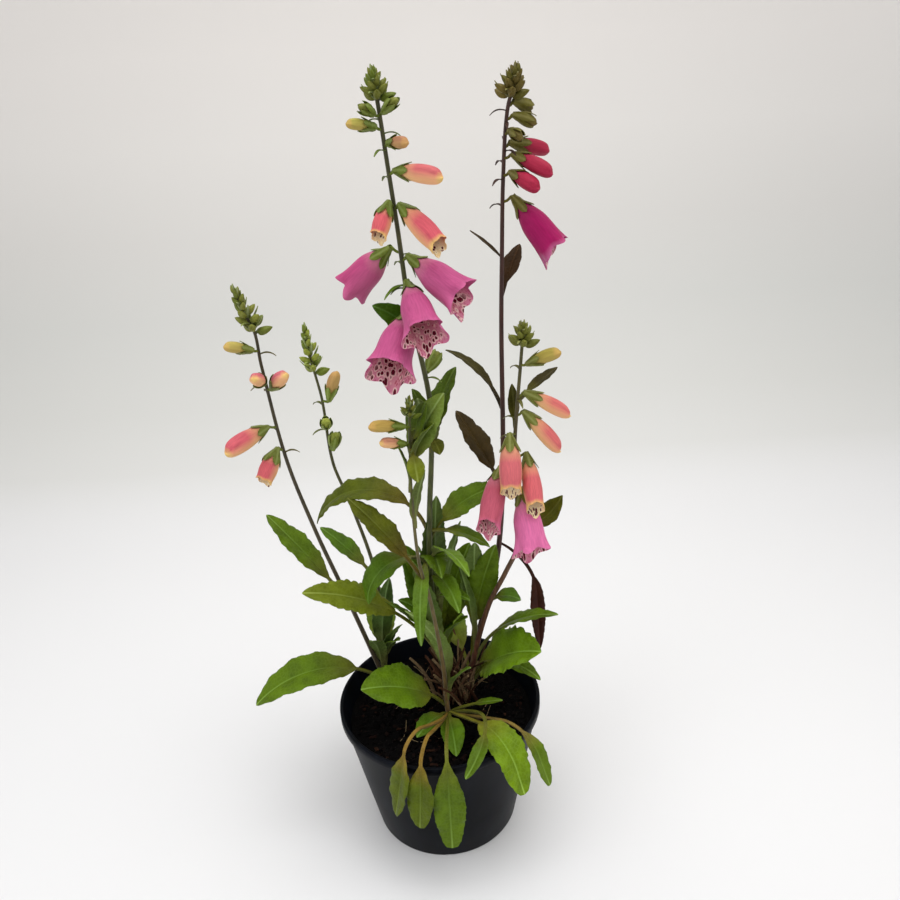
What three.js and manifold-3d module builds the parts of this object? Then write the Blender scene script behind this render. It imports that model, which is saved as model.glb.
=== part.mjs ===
// A foxglove in a round plastic nursery pot: six flowering shoots, their leaves, buds and bells.
// Millimetres, +Z up. The origin is at the middle of the pot's underside; -Y is the front.

import * as THREE from 'three';
import Module from 'manifold-3d';
import { mergeVertices } from 'three/addons/utils/BufferGeometryUtils.js';

const wasm = await Module();
wasm.setup();

// Driving dimensions
const gap = 0.3; // air between pieces that touch
const potRimRadius = 85;
const potHeight = 120;
const potFootRadius = 61.5;
const potWall = 1.6;
const potFloor = 4; // height of the floor's upper face
const potCollar = 7.5; // height of the collar round the rim
const potCollarStep = 2.6; // how far the collar stands out
const drains = 6;
const drainRadius = 5;
const drainRing = 45.5; // radius of the ring that the drains lie on
const soilLevel = 101;
const bladeThickness = 0.75;
const petioleWidth = 3;
const corollaWall = 0.9;
const bractLength = 13;
const sliver = 0.1; // how far a face may move when the slivers left by joining are cleared away

const leafGreen = new THREE.MeshStandardMaterial({ color: '#557d24', roughness: 0.6, metalness: 0 });
const darkFoliage = new THREE.MeshStandardMaterial({ color: '#4a3b26', roughness: 0.6, metalness: 0 });
const petals = {
  pink: new THREE.MeshStandardMaterial({ color: '#c2569b', roughness: 0.5, metalness: 0 }),
  salmon: new THREE.MeshStandardMaterial({ color: '#db6b6b', roughness: 0.5, metalness: 0 }),
  crimson: new THREE.MeshStandardMaterial({ color: '#b01c4a', roughness: 0.5, metalness: 0 }),
  magenta: new THREE.MeshStandardMaterial({ color: '#b0206a', roughness: 0.5, metalness: 0 }),
  yellow: new THREE.MeshStandardMaterial({ color: '#b9b04a', roughness: 0.5, metalness: 0 }),
};
const potPlastic = new THREE.MeshStandardMaterial({ color: '#24262b', roughness: 0.45, metalness: 0 });
const pottingBark = new THREE.MeshStandardMaterial({ color: '#23140d', roughness: 0.95, metalness: 0 });

// ---------------------------------------------------------------- solids

// A closed solid from shared points and triangles; turned right side out if need be.
function solid(points, triangles) {
  let volume = 0;
  for (const [a, b, c] of triangles) {
    volume += points[a].dot(new THREE.Vector3().crossVectors(points[b], points[c]));
  }
  const faces = volume < 0 ? triangles.map(([a, b, c]) => [a, c, b]) : triangles;
  const vertProperties = new Float32Array(points.flatMap((p) => [p.x, p.y, p.z]));
  const triVerts = new Uint32Array(faces.flat());
  return new wasm.Manifold(new wasm.Mesh({ numProp: 3, vertProperties, triVerts }));
}

// A closed three.js geometry as a solid.
function solidOf(geometry) {
  const bare = geometry.clone();
  bare.deleteAttribute('normal');
  bare.deleteAttribute('uv');
  const merged = mergeVertices(bare, 1e-4);
  const vertProperties = new Float32Array(merged.attributes.position.array);
  const triVerts = new Uint32Array(merged.index.array);
  return new wasm.Manifold(new wasm.Mesh({ numProp: 3, vertProperties, triVerts }));
}

// Skin stretched over a row of rings. A ring of one point closes an end, and a ring may have
// twice as many points as the one before it.
function loft(rings) {
  const points = rings.flat();
  const triangles = [];
  let first = 0;
  for (let r = 0; r + 1 < rings.length; r += 1) {
    const here = rings[r].length;
    const there = rings[r + 1].length;
    const next = first + here;
    const step = there / here === 2 ? 2 : 1;
    const count = Math.max(here, there) / step;
    for (let i = 0; i < count; i += 1) {
      const j = (i + 1) % count;
      const [from, to] = [first + (here > 1 ? i : 0), first + (here > 1 ? j : 0)];
      const onto = next + ((step * i + step) % there);
      if (there > 1) triangles.push([from, step === 2 ? next + 2 * i + 1 : onto, next + step * i]);
      if (step === 2) triangles.push([from, onto, next + 2 * i + 1]);
      if (here > 1) triangles.push([from, to, onto]);
    }
    first = next;
  }
  return solid(points, triangles);
}

// A sheet of even thickness: rows of points on the upper face, and each row's drop to the lower.
function slab(rows, drops) {
  const across = rows[0].length;
  const upper = rows.flat();
  const lower = rows.flatMap((row, i) => row.map((p) => p.clone().add(drops[i])));
  const under = upper.length;
  const at = (i, j) => i * across + j;
  const triangles = [];
  for (let i = 0; i + 1 < rows.length; i += 1) {
    for (let j = 0; j + 1 < across; j += 1) {
      const [a, b, c, d] = [at(i, j), at(i, j + 1), at(i + 1, j + 1), at(i + 1, j)];
      triangles.push([a, b, c], [a, c, d]);
      triangles.push([under + a, under + c, under + b], [under + a, under + d, under + c]);
    }
  }
  const rim = [];
  for (let j = 0; j < across; j += 1) rim.push(at(0, j));
  for (let i = 1; i < rows.length; i += 1) rim.push(at(i, across - 1));
  for (let j = across - 2; j >= 0; j -= 1) rim.push(at(rows.length - 1, j));
  for (let i = rows.length - 2; i > 0; i -= 1) rim.push(at(i, 0));
  rim.forEach((a, k) => {
    const b = rim[(k + 1) % rim.length];
    triangles.push([a, under + a, under + b], [a, under + b, b]);
  });
  return solid([...upper, ...lower], triangles);
}

// A round bar through points, with a radius at each, closed at both ends.
function bar(points, radii, sides) {
  const rings = [];
  let across = new THREE.Vector3(0.31, 1, 0.17);
  points.forEach((point, i) => {
    const before = points[Math.max(i - 1, 0)];
    const after = points[Math.min(i + 1, points.length - 1)];
    const along = after.clone().sub(before).normalize();
    across = across.clone().addScaledVector(along, -across.dot(along)).normalize();
    const other = new THREE.Vector3().crossVectors(along, across);
    const ring = [];
    for (let k = 0; k < sides; k += 1) {
      const angle = (2 * Math.PI * k) / sides;
      ring.push(
        point
          .clone()
          .addScaledVector(across, radii[i] * Math.cos(angle))
          .addScaledVector(other, radii[i] * Math.sin(angle)),
      );
    }
    rings.push(ring);
  });
  return loft([[points[0]], ...rings, [points[points.length - 1]]]);
}

// A joined body without the slivers and loose crumbs that joining leaves.
function whole(body) {
  const pieces = body.simplify(sliver).decompose();
  return pieces.reduce((largest, piece) => (piece.volume() > largest.volume() ? piece : largest));
}

function named(body, name, material) {
  const { vertProperties, triVerts, numProp } = body.getMesh();
  const positions = new Float32Array((vertProperties.length / numProp) * 3);
  for (let i = 0; i < positions.length / 3; i += 1) {
    for (let k = 0; k < 3; k += 1) positions[3 * i + k] = vertProperties[numProp * i + k];
  }
  const geometry = new THREE.BufferGeometry();
  geometry.setAttribute('position', new THREE.BufferAttribute(positions, 3));
  geometry.setIndex(new THREE.BufferAttribute(new Uint32Array(triVerts), 1));
  geometry.computeVertexNormals();
  const mesh = new THREE.Mesh(geometry, material);
  mesh.name = name;
  return mesh;
}

// ---------------------------------------------------------------- directions and paths

const radians = THREE.MathUtils.degToRad;

// Unit vector `turn` degrees round from +X and `rise` degrees above level.
function heading(turn, rise) {
  const level = Math.cos(radians(rise));
  return new THREE.Vector3(
    level * Math.cos(radians(turn)),
    level * Math.sin(radians(turn)),
    Math.sin(radians(rise)),
  );
}

// The three axes of something that points along a heading: forward, to its left, and up.
function axes(turn, rise, roll = 0) {
  const forward = heading(turn, rise);
  const left = heading(turn + 90, 0);
  const up = new THREE.Vector3().crossVectors(forward, left);
  left.applyAxisAngle(forward, radians(roll));
  up.applyAxisAngle(forward, radians(roll));
  return { forward, left, up };
}

// Where a stem is at a height: a smooth cubic through its guide points.
function stemAt(guide, z) {
  const last = guide.length - 1;
  let i = 0;
  while (i < last - 1 && guide[i + 1][2] < z) i += 1;
  const slope = (k, axis) => {
    if (k === 0) return (guide[1][axis] - guide[0][axis]) / (guide[1][2] - guide[0][2]);
    if (k === last) {
      return (guide[last][axis] - guide[last - 1][axis]) / (guide[last][2] - guide[last - 1][2]);
    }
    return (guide[k + 1][axis] - guide[k - 1][axis]) / (guide[k + 1][2] - guide[k - 1][2]);
  };
  const span = guide[i + 1][2] - guide[i][2];
  const t = Math.min(Math.max((z - guide[i][2]) / span, 0), 1);
  const place = (axis) =>
    (2 * t ** 3 - 3 * t ** 2 + 1) * guide[i][axis] +
    (t ** 3 - 2 * t ** 2 + t) * span * slope(i, axis) +
    (3 * t ** 2 - 2 * t ** 3) * guide[i + 1][axis] +
    (t ** 3 - t ** 2) * span * slope(i + 1, axis);
  return new THREE.Vector3(place(0), place(1), z);
}

// ---------------------------------------------------------------- pot and soil

const potSides = 32;

// Tapered pot with a plain collar at the rim. Its flat underside has a ring of drains, each
// with a channel that runs out under the wall.
function potBody() {
  const innerFoot = potFootRadius - potWall;
  const innerRim = potRimRadius - 2 * potWall;
  const profile = [
    [0, 0], [potFootRadius, 0], [potRimRadius - potCollarStep, potHeight - potCollar - 1.5],
    [potRimRadius, potHeight - potCollar], [potRimRadius, potHeight], [innerRim, potHeight],
    [innerFoot, potFloor], [0, potFloor],
  ];
  const outline = profile.map(([radius, z]) => new THREE.Vector2(radius, z));
  const shell = new THREE.LatheGeometry(outline, potSides);
  shell.rotateX(Math.PI / 2);
  let body = solidOf(shell);
  const channelDepth = 1.2;
  for (let i = 0; i < drains; i += 1) {
    const turn = (2 * Math.PI * (i + 0.5)) / drains;
    const drain = new THREE.CylinderGeometry(drainRadius, drainRadius, 4 * potFloor, 7);
    drain.rotateX(Math.PI / 2);
    drain.translate(drainRing, 0, 0);
    drain.rotateZ(turn);
    const channel = new THREE.BoxGeometry(potFootRadius - drainRing + 2, 6, 2 * channelDepth);
    channel.translate((potFootRadius + drainRing) / 2 + 1, 0, 0);
    channel.rotateZ(turn);
    body = body.subtract(solidOf(drain)).subtract(solidOf(channel));
  }
  return body;
}

// Inner face of the pot at a height, less the air that keeps the soil off it.
function soilRadius(z) {
  const low = potFootRadius - potWall;
  const high = potRimRadius - 2 * potWall;
  return low + ((high - low) * (z - potFloor)) / (potHeight - potFloor) - 3 * gap;
}

// Crumbly surface: low waves crossing each other, which die out at the pot's wall.
function soilHeight(x, y) {
  const edge = 1 - (Math.hypot(x, y) / potRimRadius) ** 4;
  const waves =
    1.3 * Math.sin(0.13 * x + 1) * Math.cos(0.11 * y) + 0.9 * Math.sin(0.29 * x - 0.23 * y + 2);
  return soilLevel + edge * waves;
}

function soilBody() {
  const sides = 24;
  const low = potFloor + gap;
  const ring = (radius, height) => {
    const points = [];
    for (let k = 0; k < sides; k += 1) {
      const point = heading((360 * k) / sides, 0).multiplyScalar(radius);
      points.push(point.setZ(height(point.x, point.y)));
    }
    return points;
  };
  const top = [1, 0.7, 0.35].map((share) => ring(share * soilRadius(soilLevel), soilHeight));
  const middle = new THREE.Vector3(0, 0, soilHeight(0, 0));
  return loft([[new THREE.Vector3(0, 0, low)], ring(soilRadius(low), () => low), ...top, [middle]]);
}

// ---------------------------------------------------------------- leaves

// Which way a leaf points at a share s of its length: it bends down by `bend` degrees between
// `start` and `start + span`, and swings sideways by `sway` degrees on the way.
function leafWay(leaf, s) {
  const bent = Math.min(Math.max((s - leaf.start) / leaf.span, 0), 1);
  return [leaf.turn + leaf.sway * s, leaf.rise - leaf.bend * bent];
}

const spineSteps = 60;

function leafSpine(base, leaf) {
  const points = [base.clone()];
  for (let i = 0; i < spineSteps; i += 1) {
    const step = heading(...leafWay(leaf, (i + 0.5) / spineSteps));
    points.push(points[i].clone().addScaledVector(step, leaf.long / spineSteps));
  }
  return points;
}

// Half the blade's width at t from its foot to its tip, widest a little below the middle.
function bladeHalf(leaf, t) {
  const swell = Math.sin(Math.PI * Math.min(t, 1) ** leaf.belly) ** 0.7;
  return Math.max((leaf.wide / 2) * swell, (petioleWidth / 2) * (1 - t), 0.4);
}

const leafHabit = {
  start: 0, span: 1, sway: 0, roll: 0, fold: 14, stalk: 0.25, belly: 0.85, steps: 5, ribbed: true,
};

function leafBody(guide, given) {
  const leaf = { ...leafHabit, ...given };
  const spine = leafSpine(stemAt(guide, leaf.at), leaf);
  const stations = [];
  if (leaf.stalk > 0) stations.push([0, petioleWidth / 4], [leaf.stalk / 2, petioleWidth / 2]);
  for (let i = 0; i <= leaf.steps; i += 1) {
    const t = i / leaf.steps;
    const tooth = i % 2 === 0 ? 0.86 : 1;
    stations.push([leaf.stalk + (1 - leaf.stalk) * t, tooth * bladeHalf(leaf, t)]);
  }
  const rows = [];
  const drops = [];
  for (const [s, half] of stations) {
    const point = spine[Math.round(s * spineSteps)];
    const { left, up } = axes(...leafWay(leaf, s), leaf.roll);
    const out = half * Math.cos(radians(leaf.fold));
    const lift = half * Math.sin(radians(leaf.fold));
    const edges = [out, -out].map((way) =>
      point.clone().addScaledVector(left, way).addScaledVector(up, leaf.ribbed ? lift : 0),
    );
    rows.push(leaf.ribbed ? [edges[0], point, edges[1]] : edges);
    drops.push(up.clone().multiplyScalar(-bladeThickness));
  }
  return slab(rows, drops);
}

// ---------------------------------------------------------------- flowers

// Each kind of flower: [share of its length, share of its half width] from foot to mouth.
const corollaShape = {
  bud: [[0, 0], [0.06, 0.42], [0.3, 0.86], [0.6, 1], [0.88, 0.72], [1, 0]],
  tube: [[0, 0], [0.04, 0.3], [0.14, 0.5], [0.34, 0.84], [0.7, 1], [1, 1]],
  bell: [[0, 0], [0.03, 0.17], [0.12, 0.25], [0.25, 0.48], [0.5, 0.76], [0.8, 0.84], [1, 1]],
};
const mouthHabit = {
  tube: { lip: 0.16, lobe: 0.05, flare: 0.1, sides: 10, deep: 3 },
  bell: { lip: 0.13, lobe: 0.07, flare: 0.22, sides: 15, deep: 4 },
};
const corollaSag = 0.05; // how far a flower's mouth hangs below its axis, as a share of its length

function shapeRadius(flower, along) {
  const shape = corollaShape[flower.kind] ?? corollaShape.bud;
  const share = Math.min(Math.max(along / flower.long, 0), 1);
  let i = 0;
  while (i < shape.length - 2 && shape[i + 1][0] < share) i += 1;
  const t = (share - shape[i][0]) / (shape[i + 1][0] - shape[i][0]);
  return (flower.wide / 2) * (shape[i][1] + t * (shape[i + 1][1] - shape[i][1]));
}

// A point of a flower: so far along its axis, so far out, and round from its upper side.
function flowerPoint(flower, along, radius, angle) {
  const { forward, left, up } = flower.frame;
  const sag = corollaSag * flower.long * (along / flower.long) ** 2;
  return flower.base
    .clone()
    .addScaledVector(forward, along)
    .addScaledVector(up, radius * Math.cos(angle) - sag)
    .addScaledVector(left, radius * Math.sin(angle));
}

function flowerRing(flower, sides, place, begin = 0) {
  const ring = [];
  for (let k = 0; k < sides; k += 1) {
    const angle = begin + (2 * Math.PI * k) / sides;
    const [along, radius] = place(angle, k);
    ring.push(flowerPoint(flower, along, radius, angle));
  }
  return ring;
}

// A closed bud: full in the middle and blunt at the tip.
function budBody(flower) {
  const shape = corollaShape.bud;
  const seat = flower.kind === 'green' ? -3 : 0;
  const rings = shape.slice(1, -1).map(([share, size]) =>
    flowerRing(flower, 7, () => [share * flower.long, (size * flower.wide) / 2]),
  );
  const foot = flowerPoint(flower, seat, 0, 0);
  const tip = flowerPoint(flower, flower.long, 0, 0);
  return loft([[foot], ...rings, [tip]]);
}

// An open flower: a thin wall from foot to mouth and back, with five lobes round the mouth,
// of which the lower one reaches furthest.
function openBody(flower) {
  const shape = corollaShape[flower.kind];
  const { lip, lobe, flare, sides, deep } = mouthHabit[flower.kind];
  const wall = (share, size, inset) => {
    const mouth = Math.max((share - 0.7) / 0.3, 0) ** 2;
    const place = (angle) => {
      const lobed = Math.cos(2.5 * (angle - Math.PI)) ** 2;
      const lower = (0.5 - 0.5 * Math.cos(angle)) ** 2;
      const reach = share + mouth * (lip * lower + lobe * lobed);
      const radius = ((size * flower.wide) / 2) * (1 + mouth * flare * (lobed - 0.5));
      return [reach * flower.long, radius - inset];
    };
    return flowerRing(flower, sides, place, Math.PI);
  };
  const outer = shape.slice(1).map(([share, size]) => wall(share, size, 0));
  const inner = shape.slice(deep).map(([share, size]) => wall(share, size, corollaWall));
  const foot = flowerPoint(flower, 0, 0, 0);
  const throat = flowerPoint(flower, shape[deep - 1][0] * flower.long, 0, 0);
  return loft([[foot], ...outer, ...inner.reverse(), [throat]]);
}

// The footstalk, which thickens from the stem to the green cup of five pointed sepals round a
// flower's foot. The cup's inside is a cone, wide enough to clear the flower up the sepals.
function calyxBody(flower) {
  const seat = -2.5;
  const sepal = Math.min(0.42 * flower.long, 13);
  let slope = 0;
  for (let along = 0.25; along <= sepal; along += 0.25) {
    slope = Math.max(slope, (shapeRadius(flower, along) + 1.3 * gap) / (along - seat));
  }
  const rim = flowerRing(flower, 10, (angle, k) => {
    const along = k % 2 === 0 ? sepal : 0.3 * sepal;
    return [along, slope * (along - seat) + (k % 2 === 0 ? 0 : gap)];
  });
  const cup = flowerRing(flower, 5, () => [0, 1.25 * slope * -seat + 1]);
  return loft([[flower.root], cup, rim, [flowerPoint(flower, seat, 0, 0)]]);
}

const flowerHabit = { footstalk: 6 };

// A flower with its place worked out: its foot, its axes and the stem point it springs from.
function placed(guide, given) {
  const flower = { ...flowerHabit, side: given.turn, ...given };
  const root = stemAt(guide, flower.at - 2);
  const base = stemAt(guide, flower.at).add(heading(flower.side, 0).multiplyScalar(flower.footstalk));
  return { ...flower, root, base, frame: axes(flower.turn, -flower.droop) };
}

// What belongs to the shoot at each flower: its calyx on its footstalk, and its small bract.
function flowerSeat(guide, flower, index) {
  if (!flower.bract) return [calyxBody(flower)];
  const aside = index % 2 === 0 ? 80 : -80;
  const bract = leafBody(guide, {
    at: flower.at - 5, turn: flower.side + aside, rise: 25, bend: 50, long: flower.bract,
    wide: 4, stalk: 0, steps: 2, ribbed: false,
  });
  return [calyxBody(flower), bract];
}

// ---------------------------------------------------------------- spike tips

// The young top of a spike: buds and bracts set round the stem by the golden angle.
function tipBodies(guide, { from, buds, size, spread }) {
  const top = guide[guide.length - 1][2];
  const bodies = [];
  for (let i = 0; i < buds; i += 1) {
    const share = i / (buds - 1);
    const z = from + (top - 2 - from) * share;
    const turn = 137.5 * i;
    const young = 1 - 0.45 * share;
    const root = stemAt(guide, z);
    const { forward, left, up } = axes(turn, 20 + 55 * share);
    const belly = root.clone().addScaledVector(forward, (spread + 0.4 * size) * young);
    const ring = [];
    for (let k = 0; k < 4; k += 1) {
      const angle = (2 * Math.PI * k) / 4;
      const offset = left.clone().multiplyScalar(Math.cos(angle)).addScaledVector(up, Math.sin(angle));
      ring.push(belly.clone().addScaledVector(offset, 0.36 * size * young));
    }
    const point = root.clone().addScaledVector(forward, (spread + 1.1 * size) * young);
    bodies.push(loft([[root], ring, [point]]));
    if (i % 2 === 1) continue;
    bodies.push(
      leafBody(guide, {
        at: z, turn: turn + 60, rise: 35 + 40 * share, bend: i % 4 === 0 ? 60 : -20,
        long: 1.7 * size * young, wide: 3, stalk: 0, steps: 2, ribbed: false,
      }),
    );
  }
  return bodies;
}

// ---------------------------------------------------------------- the six shoots

// Every guide starts in the soil. `at` is the height on the stem, `turn` the compass angle from
// +X, `rise` and `droop` the angle above and below level, and `bend` how far a leaf curves down.
const shoots = {
  centre: {
    guide: [
      [10, 25, 88], [2, 28, 145], [-1, 20, 222], [2, 12, 283], [8, 6, 350], [9, 4, 387],
      [2, 0, 441], [-1, -1, 463], [-4, -4, 511], [-7, -8, 552], [-10, -10, 591], [-12, -10, 606],
    ],
    foot: 3, top: 1.3, material: leafGreen,
    tip: { from: 590, buds: 7, size: 9, spread: 5 },
    flowers: [
      { kind: 'green', at: 585, turn: -52, droop: -28, long: 18, wide: 7 },
      { kind: 'green', at: 584, turn: -136, droop: -30, long: 13, wide: 7 },
      { kind: 'bud', at: 573, turn: -150, droop: -14, long: 20, wide: 8, petal: 'yellow' },
      { kind: 'bud', at: 566, turn: -45, droop: -5, long: 17, wide: 9, petal: 'yellow' },
      { kind: 'bud', at: 549, turn: -32, droop: 3, long: 34, wide: 12, petal: 'salmon' },
      { kind: 'tube', at: 529, turn: -124, droop: 51, long: 24, wide: 12, petal: 'salmon' },
      { kind: 'tube', at: 527, turn: -42, droop: 33, long: 38, wide: 15, petal: 'salmon' },
      { kind: 'bell', at: 498, turn: 150, droop: 34, long: 41, wide: 30, petal: 'pink' },
      { kind: 'bell', at: 493, turn: -29, droop: 30, long: 43, wide: 28, petal: 'pink' },
      { kind: 'bell', at: 476, turn: -74, droop: 31, long: 43, wide: 28, petal: 'pink' },
      { kind: 'bell', at: 455, turn: -108, droop: 36, long: 44, wide: 32, petal: 'pink' },
      { kind: 'green', at: 409, turn: 63, droop: -28, long: 20, wide: 9 },
    ],
    leaves: [
      { at: 175, turn: -62, rise: 87, bend: 10, long: 132, wide: 18, stalk: 0.15 },
      { at: 142, turn: 35, rise: 81, bend: 25, long: 104, wide: 32, roll: 45 },
      { at: 150, turn: -82, rise: 137, bend: 150, long: 160, wide: 24, stalk: 0.4 },
      { at: 126, turn: 101, rise: 71, bend: 15, long: 104, wide: 30 },
      { at: 130, turn: 158, rise: 88, bend: 22, long: 120, wide: 30, roll: -60 },
      { at: 118, turn: -125, rise: 84, bend: 15, long: 140, wide: 20 },
      { at: 125, turn: -38, rise: 96, bend: 60, long: 75, wide: 26, stalk: 0.4 },
      { at: 136, turn: -164, rise: 71, bend: 60, long: 153, wide: 42, stalk: 0.45, roll: -30 },
      { at: 240, turn: -154, rise: 56, bend: 150, long: 77, wide: 28 },
      { at: 274, turn: -4, rise: 5, bend: 50, long: 52, wide: 20 },
      { at: 264, turn: 15, rise: 61, bend: 60, long: 74, wide: 26, roll: 20 },
      { at: 270, turn: 170, rise: 79, bend: 150, long: 125, wide: 28, roll: -14, steps: 7 },
      { at: 339, turn: 48, rise: 70, bend: 15, long: 69, wide: 24 },
      { at: 441, turn: 133, rise: 24, bend: 20, long: 40, wide: 12, steps: 4 },
      { at: 474, turn: -157, rise: 3, bend: 60, long: 19, wide: 5, stalk: 0, steps: 2 },
    ],
  },
  middle: {
    guide: [
      [8, -1, 88], [6, -4, 108], [5, -10, 159], [-1, -20, 230], [-7, -25, 268], [-8, -30, 330],
      [-6, -32, 372], [-4, -32, 402],
    ],
    foot: 3, top: 1, material: leafGreen,
    tip: { from: 388, buds: 6, size: 5, spread: 4 },
    flowers: [
      { kind: 'bud', at: 384, turn: -148, droop: -18, long: 26, wide: 9, petal: 'yellow' },
      { kind: 'bud', at: 371, turn: -141, droop: -24, long: 20, wide: 8, petal: 'salmon' },
    ],
    leaves: [
      { at: 112, turn: -159, rise: 56, bend: 50, long: 87, wide: 44, roll: -20 },
      { at: 105, turn: -53, rise: 22, bend: 88, long: 128, wide: 38, start: 0.42, span: 0.42, stalk: 0.4 },
      { at: 103, turn: -42, rise: 21, bend: 90, long: 136, wide: 12, start: 0.45, span: 0.35, stalk: 0.6 },
      { at: 104, turn: -91, rise: 24, bend: 108, long: 172, wide: 24, start: 0.43, span: 0.16, stalk: 0.55 },
      { at: 104, turn: -95, rise: 31, bend: 108, long: 156, wide: 22, start: 0.46, span: 0.2, sway: -60,
        stalk: 0.66 },
      { at: 104, turn: -98, rise: 28, bend: 108, long: 157, wide: 22, start: 0.46, span: 0.2, sway: -20,
        stalk: 0.66 },
      { at: 104, turn: -84, rise: 34, bend: 68, long: 56, wide: 20, stalk: 0.3, steps: 4 },
      { at: 103, turn: -123, rise: 38, bend: 50, long: 50, wide: 18, steps: 4 },
      { at: 103, turn: -73, rise: 32, bend: 95, long: 112, wide: 22, start: 0.5, span: 0.35, stalk: 0.6 },
      { at: 104, turn: -15, rise: 32, bend: 20, long: 52, wide: 9, stalk: 0.5, steps: 4 },
      { at: 252, turn: 149, rise: 51, bend: 20, long: 86, wide: 27 },
      { at: 116, turn: -158, rise: 104, bend: 60, long: 112, wide: 26, roll: 60 },
      { at: 349, turn: -16, rise: 82, bend: 40, long: 40, wide: 15 },
      { at: 363, turn: 31, rise: 80, bend: 30, long: 35, wide: 16 },
      { at: 366, turn: -81, rise: -29, bend: 50, long: 30, wide: 11, steps: 4 },
    ],
  },
  dark: {
    guide: [
      [18, 51, 88], [24, 48, 103], [40, 42, 162], [55, 34, 229], [61, 28, 289], [63, 26, 342],
      [64, 20, 432], [66, 18, 489], [68, 16, 536], [72, 14, 580], [79, 12, 602],
    ],
    foot: 2.8, top: 1.2, material: darkFoliage,
    tip: { from: 588, buds: 8, size: 9, spread: 4 },
    flowers: [
      { kind: 'green', at: 584, turn: 34, droop: 16, long: 18, wide: 8 },
      { kind: 'green', at: 576, turn: -10, droop: 18, long: 18, wide: 8 },
      { kind: 'green', at: 567, turn: -60, droop: 16, long: 18, wide: 8 },
      { kind: 'bud', at: 559, turn: 28, droop: 11, long: 30, wide: 11, petal: 'crimson' },
      { kind: 'bud', at: 552, turn: -36, droop: 19, long: 32, wide: 11, petal: 'crimson' },
      { kind: 'bud', at: 541, turn: -52, droop: 26, long: 26, wide: 11, petal: 'crimson' },
      { kind: 'bell', at: 524, turn: -16, droop: 49, long: 41, wide: 28, petal: 'magenta', footstalk: 8 },
    ],
    leaves: [
      { at: 247, turn: -16, rise: -24, bend: 64, long: 116, wide: 12, roll: 70, span: 0.5, stalk: 0.35, steps: 4 },
      { at: 298, turn: 136, rise: 61, bend: 20, long: 74, wide: 24 },
      { at: 369, turn: 147, rise: 70, bend: 60, long: 66, wide: 11, steps: 4 },
      { at: 457, turn: 53, rise: 58, bend: 15, long: 41, wide: 13, steps: 4 },
      { at: 484, turn: 151, rise: 42, bend: 10, long: 30, wide: 5, stalk: 0, steps: 4 },
    ],
  },
  short: {
    guide: [
      [26, 29, 88], [31, 30, 130], [46, 20, 194], [61, 14, 230], [71, 10, 257], [71, 6, 299],
      [70, 4, 343], [72, 1, 376], [75, 0, 407], [78, 0, 438],
    ],
    foot: 2.8, top: 1.1, material: leafGreen,
    tip: { from: 426, buds: 6, size: 9, spread: 4 },
    flowers: [
      { kind: 'bud', at: 413, turn: -28, droop: -28, long: 26, wide: 10, petal: 'yellow' },
      { kind: 'bud', at: 389, turn: 3, droop: 29, long: 38, wide: 12, petal: 'salmon' },
      { kind: 'bud', at: 374, turn: -9, droop: 47, long: 40, wide: 12, petal: 'salmon' },
      { kind: 'tube', at: 359, turn: -95, droop: 66, long: 37, wide: 17, petal: 'salmon', side: -120,
        footstalk: 10 },
      { kind: 'tube', at: 339, turn: -83, droop: 46, long: 38, wide: 14, petal: 'salmon', side: -12,
        footstalk: 9 },
      { kind: 'tube', at: 328, turn: -112, droop: 42, long: 42, wide: 18, petal: 'salmon', side: 185,
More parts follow.
